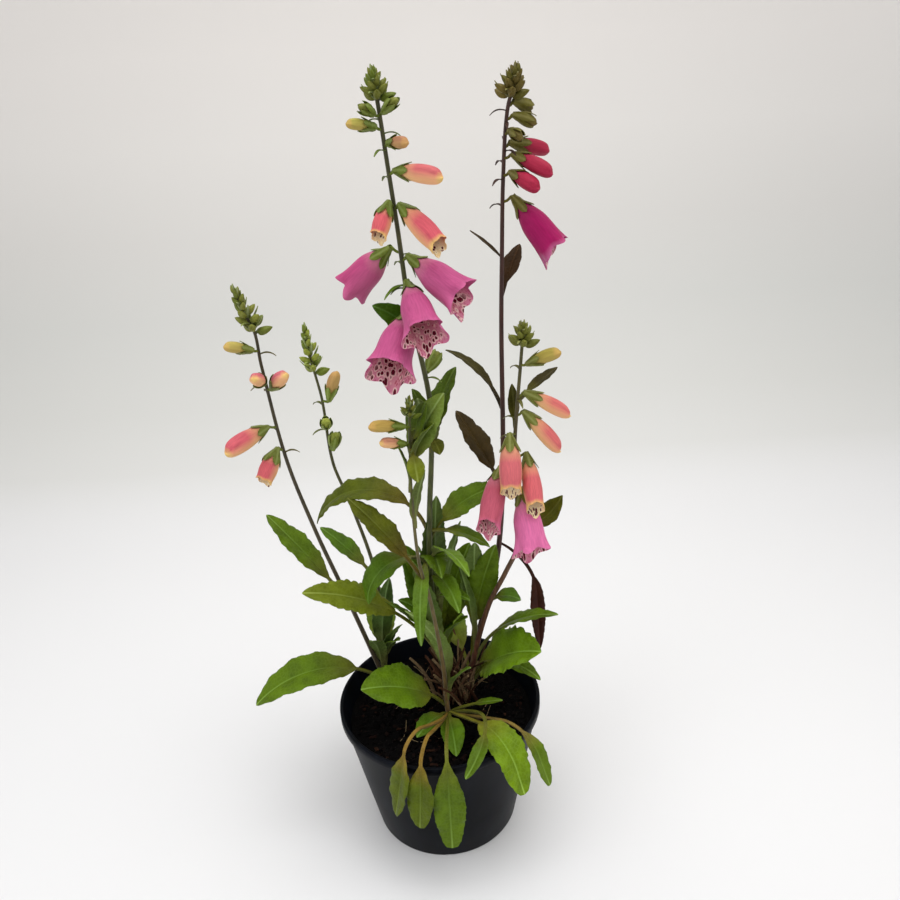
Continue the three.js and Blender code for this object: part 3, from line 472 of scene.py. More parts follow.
leaves = dict(
    centre=[
        sprout(175, -62, 87, 10, 132, 24, stalk=0.15, tint="#506A08"),
        sprout(142, 35, 81, 25, 104, 32, roll=45),
        sprout(150, -82, 137, 150, 160, 24, stalk=0.4),
        sprout(126, 101, 71, 15, 104, 30),
        sprout(130, 158, 88, 22, 120, 30, roll=-60),
        sprout(118, -125, 84, 15, 140, 20),
        sprout(125, -38, 96, 60, 75, 26, stalk=0.4),
        sprout(136, -164, 71, 60, 153, 29, stalk=0.45, roll=-30, teeth=0.16, tint="#78861C",
               stalk_tint="#76762A"),
        sprout(240, -154, 56, 150, 80, 33, tint="#507008"),
        sprout(274, -4, 5, 50, 52, 20),
        sprout(264, 15, 61, 60, 74, 26, roll=20),
        sprout(270, 170, 79, 150, 125, 28, roll=-14, tint="#59640A", stalk_tint="#6A5A20"),
        sprout(339, 38, 89, 45, 73, 23, tint="#4A600A"),
        sprout(441, -168, 47, 20, 35, 19, stalk=0.05, belly=0.6, roll=-70, tint="#3F6208"),
        sprout(474, -157, 3, 60, 19, 5, stalk=0),
        # Narrow leaves inside the crown.
        sprout(222, -67, 60, 115, 67, 17, tint="#5E7E10"),
        sprout(238, -97, 53, 150, 101, 12, tint="#5A781C"),
        sprout(236, -65, 71, 95, 89, 18, roll=-25, tint="#66861A"),
        sprout(160, 6, 83, 12, 114, 14, roll=-50),
        sprout(170, 171, 93, 20, 83, 14, roll=40),
        sprout(352, 150, 87, 30, 44, 19, stalk=0.1, tint="#4A5E08"),
        sprout(200, -47, 55, 60, 52, 14, tint="#5A7A0C"),
        sprout(130, -170, 79, 40, 89, 15),
        sprout(125, 165, 88, 25, 118, 21, roll=-50, tint="#4E6E10"),
        sprout(122, 134, 80, 30, 81, 21, tint="#4A6A0E"),
        sprout(122, 88, 88, 30, 79, 21, tint="#4E6E10"),
        sprout(150, -166, 90, 60, 66, 17, roll=-40, tint="#567614"),
        sprout(357, -62, -16, 50, 16, 12, stalk=0.1, tint="#585C0A"),
        sprout(345, -120, 84, 20, 50, 20, stalk=0.1, tint="#56680C"),
    ],
    middle=[
        sprout(112, -159, 56, 50, 87, 44, roll=-20, tint="#5F7E08"),
        sprout(105, -55, 22, 88, 123, 30, start=0.42, span=0.42, point=0.42, stalk=0.4,
               tint="#71900C", stalk_tint="#8A7C34"),
        sprout(103, -41, 21, 90, 133, 16, start=0.45, span=0.35, belly=1.1, point=0.45, stalk=0.6,
               tint="#5E780C", stalk_tint="#8A6A40"),
        sprout(104, -91, 24, 108, 172, 26, start=0.43, span=0.16, belly=1.15, neck=1.3, point=0.4,
               stalk=0.5, tint="#5A740A"),
        sprout(104, -95, 31, 108, 156, 24, start=0.46, span=0.2, sway=-60, belly=1.15, neck=1.3,
               point=0.45, stalk=0.62, tint="#58660E", stalk_tint="#9A7438"),
        sprout(104, -98, 28, 108, 157, 24, start=0.46, span=0.2, sway=-20, belly=1.15, neck=1.3,
               point=0.45, stalk=0.62, tint="#58680E", stalk_tint="#9A7438"),
        sprout(104, -84, 34, 68, 56, 20, stalk=0.3, tint="#5A7C0C"),
        sprout(103, -123, 38, 50, 50, 20, tint="#54740C"),
        sprout(103, -27, 30, 60, 121, 12, start=0.4, span=0.5, sway=-110, point=0.5, stalk=0.68,
               tint="#56720C"),
        sprout(104, -15, 32, 20, 52, 9, stalk=0.5),
        sprout(252, 149, 51, 20, 86, 26, tint="#585F08", stalk_tint="#5E4A1C"),
        sprout(116, -158, 104, 60, 112, 18, roll=45, tint="#6E8A1C"),
        sprout(349, -16, 82, 40, 42, 22, tint="#566808"),
        sprout(363, 31, 80, 30, 37, 24, tint="#4A6008"),
        sprout(366, -72, -29, 55, 26, 13, tint="#727C1C"),
        sprout(350, 12, 75, 25, 60, 23, stalk=0.12, roll=45, tint="#748A3C"),
        sprout(330, 180, 92, 25, 38, 9, stalk=0.1, tint="#566808"),
        sprout(300, 0, 87, 20, 48, 13, stalk=0.1, roll=-40, tint="#5A6C0C"),
        sprout(120, -42, 78, 40, 56, 13),
    ],
    dark=[
        sprout(247, -16, -24, 64, 116, 13, span=0.5, stalk=0.35, roll=75, tint="#3E1A12",
               stalk_tint="#3A2018"),
        sprout(298, 136, 61, 20, 74, 24, tint="#3B2C05", stalk_tint="#3A2A10"),
        sprout(369, 147, 70, 60, 66, 11, tint="#3C3608", stalk_tint="#382C10"),
        sprout(457, 53, 58, 15, 41, 15, tint="#3A2408", stalk_tint="#3A2410"),
        sprout(484, 151, 42, 10, 30, 5, stalk=0, tint="#38280A"),
    ],
    short=[
        sprout(384, 32, 29, 10, 41, 12, tint="#3A3208"),
        sprout(358, 95, 79, 8, 36, 9, tint="#3E3C08"),
        sprout(270, 9, 12, -50, 46, 20, roll=25, point=0.8, tint="#525508"),
        sprout(202, -12, 34, 70, 26, 21, stalk=0.15, tint="#4C6E0C"),
        sprout(125, -23, 77, 70, 111, 20, stalk=0.45),
        sprout(118, -18, 89, 20, 136, 26, stalk=0.4, roll=100),
        sprout(150, -77, 98, 25, 107, 24),
        # Painted light: this broad leaf's tint is lightened to cancel the shade that the leaves
        # above cast on it.
        sprout(106, -37, 66, 50, 99, 52, roll=28, fold=24, teeth=0.13, tint="#6C8E0C"),
        sprout(120, -34, 60, 95, 78, 20),
        sprout(112, 112, 55, 75, 105, 30),
        sprout(140, -136, 92, 20, 96, 14),
        sprout(112, 13, 63, 60, 57, 18),
    ],
    left=[
        sprout(200, 155, 50, 10, 101, 27, belly=0.95),
        sprout(107, -165, 52, 98, 130, 36, roll=-15, teeth=0.04, tint="#5F7C06"),
        sprout(112, -97, 95, 60, 70, 15),
    ],
    small=[
        sprout(205, 151, 49, 25, 68, 21, tint="#4E6E0A"),
        sprout(112, -57, 88, 60, 64, 18),
        sprout(110, 95, 60, 70, 95, 28),
        sprout(112, -52, 83, 40, 78, 13),
        sprout(112, 3, 93, 20, 98, 19, roll=-80, tint="#4C6C10"),
    ],
)
petiole_width, blade_thickness, tooth_pitch = 3, 0.35, 6.5
across_count, row_pitch, spine_steps = 17, 1.25, 60


def directions(turn, rise, roll=0):
    """Unit vectors forward along a heading, to its left and up, with the last two turned about
    the first by the roll."""
    forward, flat = heading(turn, rise), heading(np.add(turn, 90), np.zeros_like(rise))
    square = np.cross(forward, flat)
    c, s = np.cos(np.radians(roll)), np.sin(np.radians(roll))
    return forward, flat * c + square * s, square * c - flat * s


def leaf_way(leaf, s):
    """Turn and rise of a leaf at a share s of its length."""
    bent = np.clip((s - leaf["start"]) / leaf["span"], 0, 1)
    return leaf["turn"] + leaf["sway"] * s, leaf["rise"] - leaf["bend"] * bent


def both_sides(upper, lower):
    """Rings round a thin part, from the rows of points on its upper and lower side."""
    return np.concatenate([upper, lower[:, ::-1]], 1)


def blade(foot, leaf):
    """Leaf on its spine, which adds up short steps along the leaf's way. At a share t of the
    blade, half its width is wide / 2 times sin(pi t^belly)^p, where p runs from the neck to
    the point, and the edge steps in and out by the teeth. Both halves are folded up at the
    midrib, ripple towards the edge with a sine wave, and swell between side veins that leave
    the midrib at 45 degrees. The underside is the same, lowered by the thickness, the midrib
    and the stalk's half round."""
    long, wide, stalk = leaf["long"], leaf["wide"], leaf["stalk"]
    rows = int(np.clip(long / row_pitch, 14, 96))
    s, v = np.linspace(0, 1, rows), np.linspace(-1, 1, across_count)[None]
    steps = np.linspace(0, 1, spine_steps + 1)
    way = heading(*leaf_way(leaf, (steps[1:] + steps[:-1]) / 2)) * long / spine_steps
    spine = foot + np.concatenate([np.zeros((1, 3)), np.cumsum(way, 0)])
    spine = np.stack([np.interp(s, steps, spine[:, k]) for k in range(3)], -1)[:, None]
    forward, left, up = (d[:, None] for d in directions(*leaf_way(leaf, s), leaf["roll"]))
    seed = 11.3 * leaf["at"] + 2.7 * leaf["turn"]
    t = np.clip((s - stalk) / (1 - stalk), 0, 1)
    slender = leaf["neck"] + (leaf["point"] - leaf["neck"]) * t
    half = wide / 2 * np.abs(np.sin(np.pi * t ** leaf["belly"])) ** slender
    petiole = petiole_width / 2 * np.minimum(1, 0.5 + s / max(stalk, 0.1)) * (1 - t)
    half = np.maximum(np.maximum(half, petiole), 0.35)
    s, t, half, along = s[:, None], t[:, None], half[:, None], (s * long)[:, None]
    saw = (along / tooth_pitch + seed + 0.15 * np.sin(along)) % 1
    out = half * v * (1 + v**4 * leaf["teeth"] * (saw - 0.6) * np.minimum(1, 8 * t * (1.02 - t)))
    spacing = np.clip(long * (1 - stalk) / 9, 4, 10)
    vein = np.abs(np.sin(np.pi * (along - np.abs(out)) / spacing + (v > 0) * 0.9)) ** 0.8
    full = np.minimum(1, 6 * t * (1 - t)) * min(1, wide / 24)
    lift = np.abs(out) * np.sin(np.radians(leaf["fold"])) - 0.06 * wide * full * v**4
    lift = lift + full * (0.7 * vein * np.abs(v) ** 0.5 * (1 - v**4) - 0.5 * np.exp(-(out**2)))
    wave = 2 * np.pi * along / 23 + seed + (v > 0) * 2
    lift = lift + full * np.abs(v) ** 3 * (0.03 * wide * np.sin(wave) + 0.5 * np.sin(2.3 * wave))
    stout = np.clip(1 - 5 * t, 0, 1) if stalk else 0
    under = 0.9 * np.exp(-(out**2)) + 1.6 * stout * np.sqrt(1 - 0.98 * v**2)
    under = blade_thickness + under * (1 - 0.7 * s) * min(1, wide / 12)
    out_flat = out * np.cos(np.radians(leaf["fold"]))
    upper = spine + left * out_flat[..., None] + up * lift[..., None]
    lower = upper - up * under[..., None]
    grid = np.stack([out, along + 0 * v, 0 * out + seed % 50], -1)
    beneath = np.arange(2 * across_count) >= across_count
    stain = np.clip(1 - 2.5 * t, 0, 1)[..., None] * (0.8 if stalk else 0)
    tint = paint(leaf["tint"])[:3] * (1 - stain) + stain * paint(leaf["stalk_tint"])[:3]
    return tube(both_sides(upper, lower), tint=tint, beneath=beneath,
                grid=both_sides(grid, grid), blade=t)


def leaf_tissue():
    """Downy leaf: almost matt, with pale sunken veins, net veins between them and a greyer
    underside. The grid mark is (across, along, leaf) in millimetres, and the veins
    follow it."""
    constants = {"Roughness": 0.46, "IOR": 1.45, "Specular IOR Level": 0.14}
    material, tree, shader = finish("downy_leaf", constants)
    marks = dict(tint="Color", grid="Vector", beneath="Fac", blade="Fac")
    tint, grid, beneath, spread = (
        add(tree, "Attribute", attribute_name=key).outputs[kind] for key, kind in marks.items()
    )
    part = add(tree, "SeparateXYZ", {"Vector": grid})
    out = add(tree, "Math", {0: part.outputs["X"]}, operation="ABSOLUTE")
    net = add(tree, "TexVoronoi", {"Vector": grid, "Scale": 1 / 3.2, "Randomness": 0.8},
              feature="DISTANCE_TO_EDGE")
    rib, line = (
        add(tree, "MapRange", {"Value": way, "From Min": near, "From Max": far, "To Min": 1.0,
                               "To Max": 0.0})
        for way, near, far in ((out, 0.25, 1.0), (net, 0.02, 0.16))
    )
    patch = add(tree, "TexNoise", {"Vector": grid, "Scale": 1 / 12, "Detail": 4})
    stops = [(0.3, "#C8C8A8"), (0.55, "#EAEAD0"), (0.75, "#FFFFD8")]
    gain = add(tree, "ValToRGB", {"Fac": patch}, stops)
    mottled = add(tree, "Mix", {"Factor": 1.0, "A": tint, "B": gain},
                  data_type="RGBA", blend_type="MULTIPLY")
    pale = add(tree, "HueSaturation", {"Saturation": 0.85, "Value": 1.7, "Color": tint})
    veined = mottled
    for vein, strength in ((line, 0.12), (rib, spread)):
        factor = add(tree, "Math", {0: vein, 1: strength}, operation="MULTIPLY")
        veined = add(tree, "Mix", {"Factor": factor, "A": veined, "B": pale}, data_type="RGBA")
    grey = add(tree, "HueSaturation", {"Saturation": 0.8, "Value": 1.15, "Color": veined})
    sides = add(tree, "Mix", {"Factor": beneath, "A": veined, "B": grey}, data_type="RGBA")
    down = add(tree, "TexNoise", {"Vector": grid, "Scale": 1.6, "Detail": 3})
    height = add(tree, "Math", {0: net, 1: 1.6, 2: down}, operation="MULTIPLY_ADD")
    bump = add(tree, "Bump", {"Height": height, "Strength": 0.45, "Distance": 0.5 * mm})
    add(tree, shader, {"Base Color": sides, "Normal": bump})
    return material


leaf_skin = leaf_tissue()
for name, grown in leaves.items():
    surfaces = [blade(stem_at(name, leaf["at"]), leaf) for leaf in grown]
    piece(f"leaves_{name}", surfaces, leaf_skin, foliage[name], f"shoot_{name}")

# ---------------------------------------------------------------- the corollas
# Each flower is one thin-walled tube of petal tissue, closed as a bud and opening at the mouth
# into five shallow lobes, the lowest of which reaches furthest. Inside, the lower side is pale
# and freckled with maroon, each freckle in a paler ring.


def bloom(kind, at, turn, droop, long, wide, petal=None, **habit):
    """A flower that springs from its stem at a height, points along `turn` and `droop` degrees
    below level, and hangs on a footstalk of 6 mm towards `turn`, where the habit gives no
    other footstalk and side. Each kind but green has a petal."""
    size = dict(kind=kind, at=at, turn=turn, droop=droop, long=long, wide=wide, petal=petal)
    return dict(footstalk=6, side=turn) | size | habit


flowers = dict(
    centre=[
        bloom("green", 585, -52, -28, 16, 6),
        bloom("green", 584, -136, -30, 11, 6),
        bloom("bud", 576, -150, -14, 18, 7.5, "yellow", tint="#AEA650"),
        bloom("bud", 566, -45, -5, 16, 8, "yellow", footstalk=5, tint="#B88462"),
        bloom("bud", 549, -32, 3, 34, 12.5, "salmon", tint="#CC686A"),
        bloom("tube", 529, -124, 51, 21, 12, "salmon", tint="#DC646C"),
        bloom("tube", 527, -42, 33, 37, 15, "salmon", tint="#D25C68", lip=0.1),
        bloom("bell", 498, 152, 38, 40, 27, "pink", lip=0.03, footstalk=9, tint="#BC4A7C"),
        bloom("bell", 493, -29, 30, 43, 28, "pink"),
        bloom("bell", 476, -74, 31, 43, 28, "pink"),
        bloom("bell", 455, -112, 36, 44, 32, "pink"),
        bloom("green", 409, 63, -28, 20, 9),
    ],
    middle=[
        bloom("bud", 384, -148, -18, 26, 9, "yellow", tint="#B89A4E"),
        bloom("bud", 371, -141, -24, 20, 8, "salmon", tint="#C08468"),
    ],
    dark=[
        bloom("green", 584, 34, 16, 15, 7),
        bloom("green", 576, -10, 18, 15, 7),
        bloom("green", 567, -60, 16, 13, 6.5),
        bloom("bud", 559, 28, 11, 30, 11, "crimson"),
        bloom("bud", 552, -36, 19, 30, 11, "crimson", footstalk=8),
        bloom("bud", 541, -52, 16, 26, 11, "crimson", footstalk=8),
        bloom("bell", 524, -16, 49, 41, 25, "magenta", footstalk=8, flare=0.22),
    ],
    short=[
        bloom("bud", 413, -28, -28, 26, 10, "yellow", tint="#A89A48"),
        bloom("bud", 389, 3, 29, 38, 12, "salmon", tint="#DC7470"),
        bloom("bud", 374, -9, 47, 40, 13, "salmon", tint="#DA7070"),
        bloom("tube", 359, -95, 66, 37, 17, "salmon", side=-120, footstalk=10, tint="#DA7076",
              lip=0.24),
        bloom("tube", 339, -83, 46, 38, 14.5, "salmon", side=-12, footstalk=9, tint="#D6686E"),
        bloom("tube", 328, -112, 42, 42, 18, "pink", side=185, footstalk=12, tint="#C25C70",
              lip=0.24, flare=0.3),
        # Painted light: this bell's tint is lightened to cancel the shade it hangs in.
        bloom("bell", 313, -71, 64, 44, 28, "pink", footstalk=9, tint="#E476AA", lip=0.25),
    ],
    left=[
        bloom("bud", 434, -143, -24, 20, 8.5, "yellow", tint="#BEAE5C"),
        bloom("bud", 409, -95, -34, 20, 10, "salmon", tint="#D06C76"),
        bloom("bud", 404, -36, -44, 20, 11, "salmon", tint="#D26C78"),
        bloom("bud", 373, -134, 8, 37, 14.5, "salmon", tint="#D2626C", footstalk=9),
        bloom("tube", 353, -128, 46, 24, 14, "salmon", tint="#D8666E", lip=0.1),
    ],
    small=[
        bloom("bud", 376, -10, -73, 24, 10, "yellow", tint="#C29A62"),
        bloom("green", 354, -81, -42, 18, 8),
        bloom("green", 335, -50, -69, 17, 9),
    ],
)
petal_tints = dict(pink="#BE5486", magenta="#A5185C", salmon="#DC6C70", crimson="#A62844",
                   yellow="#B4A850")
petal_slots = {petal: f"petal_{petal}" for petal in petal_tints}

# From foot to mouth: shares of the length, and shares of half the width there.
corolla_shape = dict(
    green=((0, 0.06, 0.3, 0.6, 0.86, 0.97, 1), (0.1, 0.42, 0.86, 1, 0.8, 0.4, 0.02)),
    bud=((0, 0.06, 0.3, 0.6, 0.86, 0.97, 1), (0.1, 0.4, 0.78, 0.98, 0.86, 0.46, 0.02)),
    tube=((0, 0.04, 0.14, 0.34, 0.7, 1), (0.1, 0.3, 0.5, 0.84, 1, 0.82)),
    bell=((0, 0.03, 0.12, 0.25, 0.5, 0.8, 1), (0.1, 0.17, 0.25, 0.47, 0.74, 0.82, 0.92)),
)
mouth_habit = dict(tube=dict(lip=0.2, lobe=0.04, flare=0.1, throat=0.14, narrow=1.7),
                   bell=dict(lip=0.16, lobe=0.07, flare=0.34, throat=0.25, narrow=3))
corolla_wall, corolla_sag = 0.6, 0.05
open_sides, outer_rings, inner_rings = 80, 42, 34
shut_sides, shut_rings = 48, 34


def place_flower(name, flower):
    """A flower with its foot, its three axes and the stem point that it springs from."""
    out = heading(flower["side"], 0)
    foot = stem_at(name, flower["at"]) + flower["footstalk"] * out
    return flower | dict(root=stem_at(name, flower["at"] - 2), foot=foot, out=out,
                         axes=directions(flower["turn"], -flower["droop"]))


def flower_point(flower, along, radius, angle):
    """Place so far along a flower's axis and so far out, at an angle round from its upper side.
    The axis sinks with the square of the share of its length."""
    forward, left, up = flower["axes"]
    along, radius, angle = np.broadcast_arrays(along, radius, angle)
    sag = corolla_sag * flower["long"] * (along / flower["long"]) ** 2
    return (flower["foot"] + along[..., None] * forward
            + (radius * np.cos(angle) - sag)[..., None] * up
            + (radius * np.sin(angle))[..., None] * left)


def corolla_marks(flower, share, radius, angle, inside):
    """Marks of petal tissue: its tint, its place in the flower in millimetres, which a tube
    enlarges to keep its freckles fine, and where it is: the share from foot to mouth, the
    lowness from 0 above to 1 below, and 1 on the lining."""
    share, radius, angle, inside = np.broadcast_arrays(share, radius, angle, inside)
    seed, fine = 13 * flower["at"] % 97, 1.6 if flower["kind"] == "tube" else 1
    spot = [radius * np.cos(angle), radius * np.sin(angle) + seed, share * flower["long"]]
    spot = [fine * place for place in spot]
    where = [share, 0.5 - 0.5 * np.cos(angle), inside]
    tint = flower.get("tint") or petal_tints[flower["petal"]]
    return dict(tint=paint(tint)[:3], spot=np.stack(spot, -1), where=np.stack(where, -1))


def open_corolla(flower):
    """Rings and marks of the wall, from foot to mouth and back. Its radius follows the shape's
    cubic. Towards the mouth, the squared share m lets it reach on, by m times the lip times a
    power of how low a point is, and by m times the lobe times cos^2(2.5 angle). It flares
    with the lobes, most of all at the sides. The lower side swells in the middle, low pleats
    run between the lobes, and the rim ripples. The inner wall is set in by the wall's
    thickness, and narrows to a point at the throat."""
    habit = mouth_habit[flower["kind"]] | flower
    knots, sizes = corolla_shape[flower["kind"]]
    angle = circle(open_sides)[None]
    outer = 1 - (1 - np.linspace(0, 1, outer_rings)) ** 1.15
    inner = np.linspace(1, habit["throat"], inner_rings)
    share = np.concatenate([outer, inner])[:, None]
    inside = (np.arange(len(share)) >= len(outer))[:, None]
    mouth = np.clip((share - 0.7) / 0.3, 0, 1) ** 2
    lobed = np.cos(2.5 * (angle - np.pi)) ** 2
    lower = 0.5 - 0.5 * np.cos(angle)
    radius = flower["wide"] / 2 * smooth(knots, sizes, share)
    aside = 0.6 + 0.8 * np.sin(angle) ** 2
    radius = radius * (1 + mouth * habit["flare"] * (lobed * aside - 0.5))
    swell = np.sin(np.pi * np.clip(share, 0, 1)) ** 2
    radius = radius * (1 + 0.05 * swell * (lower**2 - 0.3) - 0.02 * swell * (1 - lobed))
    radius = radius + mouth**3 * (0.7 * lobed + 0.25 * np.sin(17 * angle + flower["at"]))
    shut = np.minimum(1, 6 * (share - habit["throat"]) + 0.15)
    inset = radius - (radius - corolla_wall * (1 - 0.4 * mouth)) * shut
    radius = np.maximum(radius - inside * inset, 0.2)
    reach = share + mouth * (habit["lip"] * lower ** habit["narrow"] + habit["lobe"] * lobed)
    rings = flower_point(flower, reach * flower["long"], radius, angle)
    return rings, corolla_marks(flower, share, radius, angle, inside)


def shut_corolla(flower):
    """Rings and marks of a closed bud: the shape's cubic turned about the axis, pressed flat
    from above and below towards its tip, where five lobes meet in shallow furrows."""
    knots, sizes = corolla_shape[flower["kind"]]
    angle = circle(shut_sides)[None]
    share = (1 - np.cos(np.pi * np.linspace(0, 1, shut_rings)[:, None])) / 2
    radius = flower["wide"] / 2 * smooth(knots, sizes, share)
    lobed = np.cos(2.5 * (angle - np.pi)) ** 2
    radius = radius * (1 - 0.16 * share**3 * (1 - lobed))
    radius = radius * (1 + 0.1 * share**2 * (np.sin(angle) ** 2 - 0.6))
    lower = 0.5 - 0.5 * np.cos(angle)
    reach = share + 0.05 * share**4 * (lower - 0.5)
    rings = flower_point(flower, reach * flower["long"], radius, angle)
    return rings, corolla_marks(flower, 0.98 * share, radius, angle, 0)


def petal_tissue(name, foot, below, below_share, lip, lip_start, lip_share, lining,
                 foot_end=0.45, ring_tint="#F4CEC8", speck_tint="#A8304E"):
    """Petal: a silky skin with fine veins that run to the mouth, in the tint mark's colour,
    paler at its foot as far as foot_end and along its lower side, and edged with a lip of
    another colour. The lining has ragged maroon freckles of 1 to 3 mm with a pale ring, and
    finer specks between them. The spot mark is the place in the flower in millimetres, and
    the where mark is (share from foot to mouth, lowness, inside)."""
    constants = {"Roughness": 0.5, "IOR": 1.4, "Sheen Weight": 0.04, "Sheen Roughness": 0.35,
                 "Specular IOR Level": 0.15}
    material, tree, shader = finish(name, constants)
    marks = dict(tint="Color", spot="Vector", where="Vector")
    tint, spot, where = (
        add(tree, "Attribute", attribute_name=key).outputs[kind] for key, kind in marks.items()
    )
    part = add(tree, "SeparateXYZ", {"Vector": where})
    share, lower, inside = (part.outputs[k] for k in "XYZ")
    drawn = add(tree, "Mapping", {"Vector": spot, "Scale": (1, 1, 0.1)})
    veins = add(tree, "TexNoise", {"Vector": drawn, "Scale": 0.9, "Detail": 4})
    gain = add(tree, "ValToRGB", {"Fac": veins}, [(0.3, "#E4E0E2"), (0.7, "#FFFFFF")])
    streaked = add(tree, "Mix", {"Factor": 1.0, "A": tint, "B": gain},
                   data_type="RGBA", blend_type="MULTIPLY")
    low = add(tree, "Math", {0: lower, 1: 0.06, 2: share}, operation="MULTIPLY_ADD")
    ragged = add(tree, "TexNoise", {"Vector": spot, "Scale": 0.5, "Detail": 2})
    torn = add(tree, "VectorMath", {0: ragged.outputs["Color"], 1: (1.5, 1.5, 1.5), 2: spot},
               operation="MULTIPLY_ADD")
    speck = add(tree, "TexVoronoi", {"Vector": torn, "Scale": 1 / 1.5})
    cell = add(tree, "TexVoronoi", {"Vector": torn, "Scale": 1 / 3.3, "Randomness": 0.9})
    sized = add(tree, "Math", {0: cell.outputs["Color"], 1: 0.3, 2: cell},
                operation="MULTIPLY_ADD")

    # Each fade goes from one value to another while its measure goes from near to far.
    fades = dict(
        belly=(lower, 0.25, 0.75, 0.0, below_share),
        base=(share, 0.1, foot_end, 0.8, 0.0),
        rim=(low, lip_start, lip_start + 0.08, 0.0, lip_share),
        pale=(lower, 0.3, 0.85, 0.1, 0.95),
        border=(share, 0.93, 1.0, 0.0, 0.6),
        speck_zone=(lower, 0.3, 0.6, 0.0, 1.0),
        speck=(speck, 0.26, 0.4, 0.65, 0.0),
        zone=(lower, 0.56, 0.74, 0.0, 1.0),
        ring=(sized, 0.58, 0.72, 0.9, 0.0),
        dot=(sized, 0.45, 0.55, 1.0, 0.0),
    )
    sockets = "Value", "From Min", "From Max", "To Min", "To Max"
    fade = {key: add(tree, "MapRange", dict(zip(sockets, row))) for key, row in fades.items()}
    for key, zone in (("speck", "speck_zone"), ("ring", "zone"), ("dot", "zone")):
        fade[key] = add(tree, "Math", {0: fade[key], 1: fade[zone]}, operation="MULTIPLY")
    outside = streaked
    for key, colour in (("belly", below), ("base", foot), ("rim", lip)):
        outside = add(tree, "Mix", {"Factor": fade[key], "A": outside, "B": paint(colour)},
                      data_type="RGBA")
    lined = add(tree, "Mix", {"Factor": fade["pale"], "A": tint, "B": paint(lining)},
                data_type="RGBA")
    within = add(tree, "Mix", {"Factor": fade["border"], "A": lined, "B": outside},
                 data_type="RGBA")
    for key, colour in (("speck", speck_tint), ("ring", ring_tint), ("dot", "#5E0C24")):
        within = add(tree, "Mix", {"Factor": fade[key], "A": within, "B": paint(colour)},
                     data_type="RGBA")
    sides = add(tree, "Mix", {"Factor": inside, "A": outside, "B": within}, data_type="RGBA")
    bump = add(tree, "Bump", {"Height": veins, "Strength": 0.25, "Distance": 0.5 * mm})
    add(tree, shader, {"Base Color": sides, "Normal": bump})
    return material


petals = dict(
    pink=petal_tissue("rose_pink_petal", "#C98A96", "#C46E94", 0.4, "#CC709C", 0.95, 0.4,
                      "#D68E9C"),
    magenta=petal_tissue("magenta_petal", "#8A2A50", "#9A2A60", 0.3, "#C47CA4", 0.94, 0.5,
                         "#D090A6"),
    # The salmon lining and its freckle rings are partly the pale cream of the real throat and
    # partly painted light: they are lightened nearly to white to cancel the shade inside the tube.
    salmon=petal_tissue("salmon_petal", "#E6BE80", "#ECB884", 0.95, "#E0BE70", 0.93, 0.85,
                        "#FFEEC4", 0.52, "#FFF0CC", "#ECC48E"),
    crimson=petal_tissue("crimson_petal", "#8E4048", "#A02848", 0.2, "#A83050", 0.96, 0.3,
                         "#C77C8C"),
    yellow=petal_tissue("yellow_bud_petal", "#A8A050", "#C2A860", 0.4, "#C89C5C", 0.85, 0.5,
                        "#D8C888"),
)
placed = {name: [place_flower(name, bud) for bud in grown] for name, grown in flowers.items()}
for name, grown in placed.items():
    for i, flower in enumerate(grown):
        if not flower["petal"]:
            continue
        kind, petal = flower["kind"], flower["petal"]
        rings, marks = shut_corolla(flower) if kind == "bud" else open_corolla(flower)
        piece(f"corolla_{name}_{i + 1}", [tube(rings, **marks)], petals[petal],
              petal_slots[petal], f"{kind}_{name}_{i + 1}")

# ---------------------------------------------------------------- the calyxes and bracts
# Five leafy sepals hold each flower's foot, on a curved green footstalk with a small bract
# under it. Young buds are wrapped in their sepals, and crowd in a spiral at each spike's tip.

bract_long, bract_wide, stalk_steps = 13, 2.8, 16
sepal_limit, sepal_back, sepal_angle, sepal_thickness = 12, 2.4, 44, 0.4

# For each spike: the height where its spiral of young buds starts, how many there are, how big
# the lowest is, how far out it stands, and the colours of the sepals, young buds and bracts.
spikes = dict(
    centre=(590, 20, 8, 4, "#6A7830", "#7E823E", "#5A6A1C"),
    middle=(388, 12, 5, 4, "#6A782C", "#767A36", "#5A6A1C"),
    dark=(586, 20, 9, 4, "#66602A", "#6E6034", "#3C2620"),
    short=(424, 16, 9, 4, "#74783A", "#7E823E", "#5C5A28"),
    left=(444, 18, 9, 4, "#727C3A", "#868A44", "#5A5228"),
    small=(396, 16, 9, 3, "#7A8A38", "#98A24C", "#5A6020"),
)


def rest_marks(tint, grid, share=0):
    """The leaf marks for a small leafy part, which shows its upper side all round."""
    return dict(tint=paint(tint)[:3], beneath=0, grid=grid, blade=share)


def sepal(flower, turn, reach, tint):
    """Pointed egg-shaped sepal that starts behind the flower's foot. At a share t of it, its
    half angle round the flower is its full one times (1 - 0.15 t) (1 - t^3)^0.7, and it lies
    just outside the corolla's cubic. Its edge and its tip stand off a little."""
    knots, sizes = corolla_shape[flower["kind"]]
    t, v = np.linspace(0, 1, 11)[:, None], np.linspace(-1, 1, 9)[None]
    along = -sepal_back + (reach + sepal_back) * t
    core = flower["wide"] / 2 * smooth(knots, sizes, np.clip(along / flower["long"], 0, 1))
    core = np.maximum(core, 1.9 * np.minimum(1, 0.35 + t * 3))
    half = sepal_angle * (1 - 0.15 * t) * np.maximum(1 - t**3, 0.002) ** 0.7
    angle = np.radians(turn + half * v)
    stand = 0.4 + 0.25 * t**2 + 0.2 * np.abs(v) ** 2 + (0.25 if turn % 144 else 0)
    upper = flower_point(flower, along, core + stand + sepal_thickness, angle)
    lower = flower_point(flower, along, core + stand, angle)
    across = np.radians(half * v) * core
    grid = np.stack([across, along + 0 * v, 0 * across + turn + flower["at"]], -1)
    return tube(both_sides(upper, lower), **rest_marks(tint, both_sides(grid, grid), 0.5))


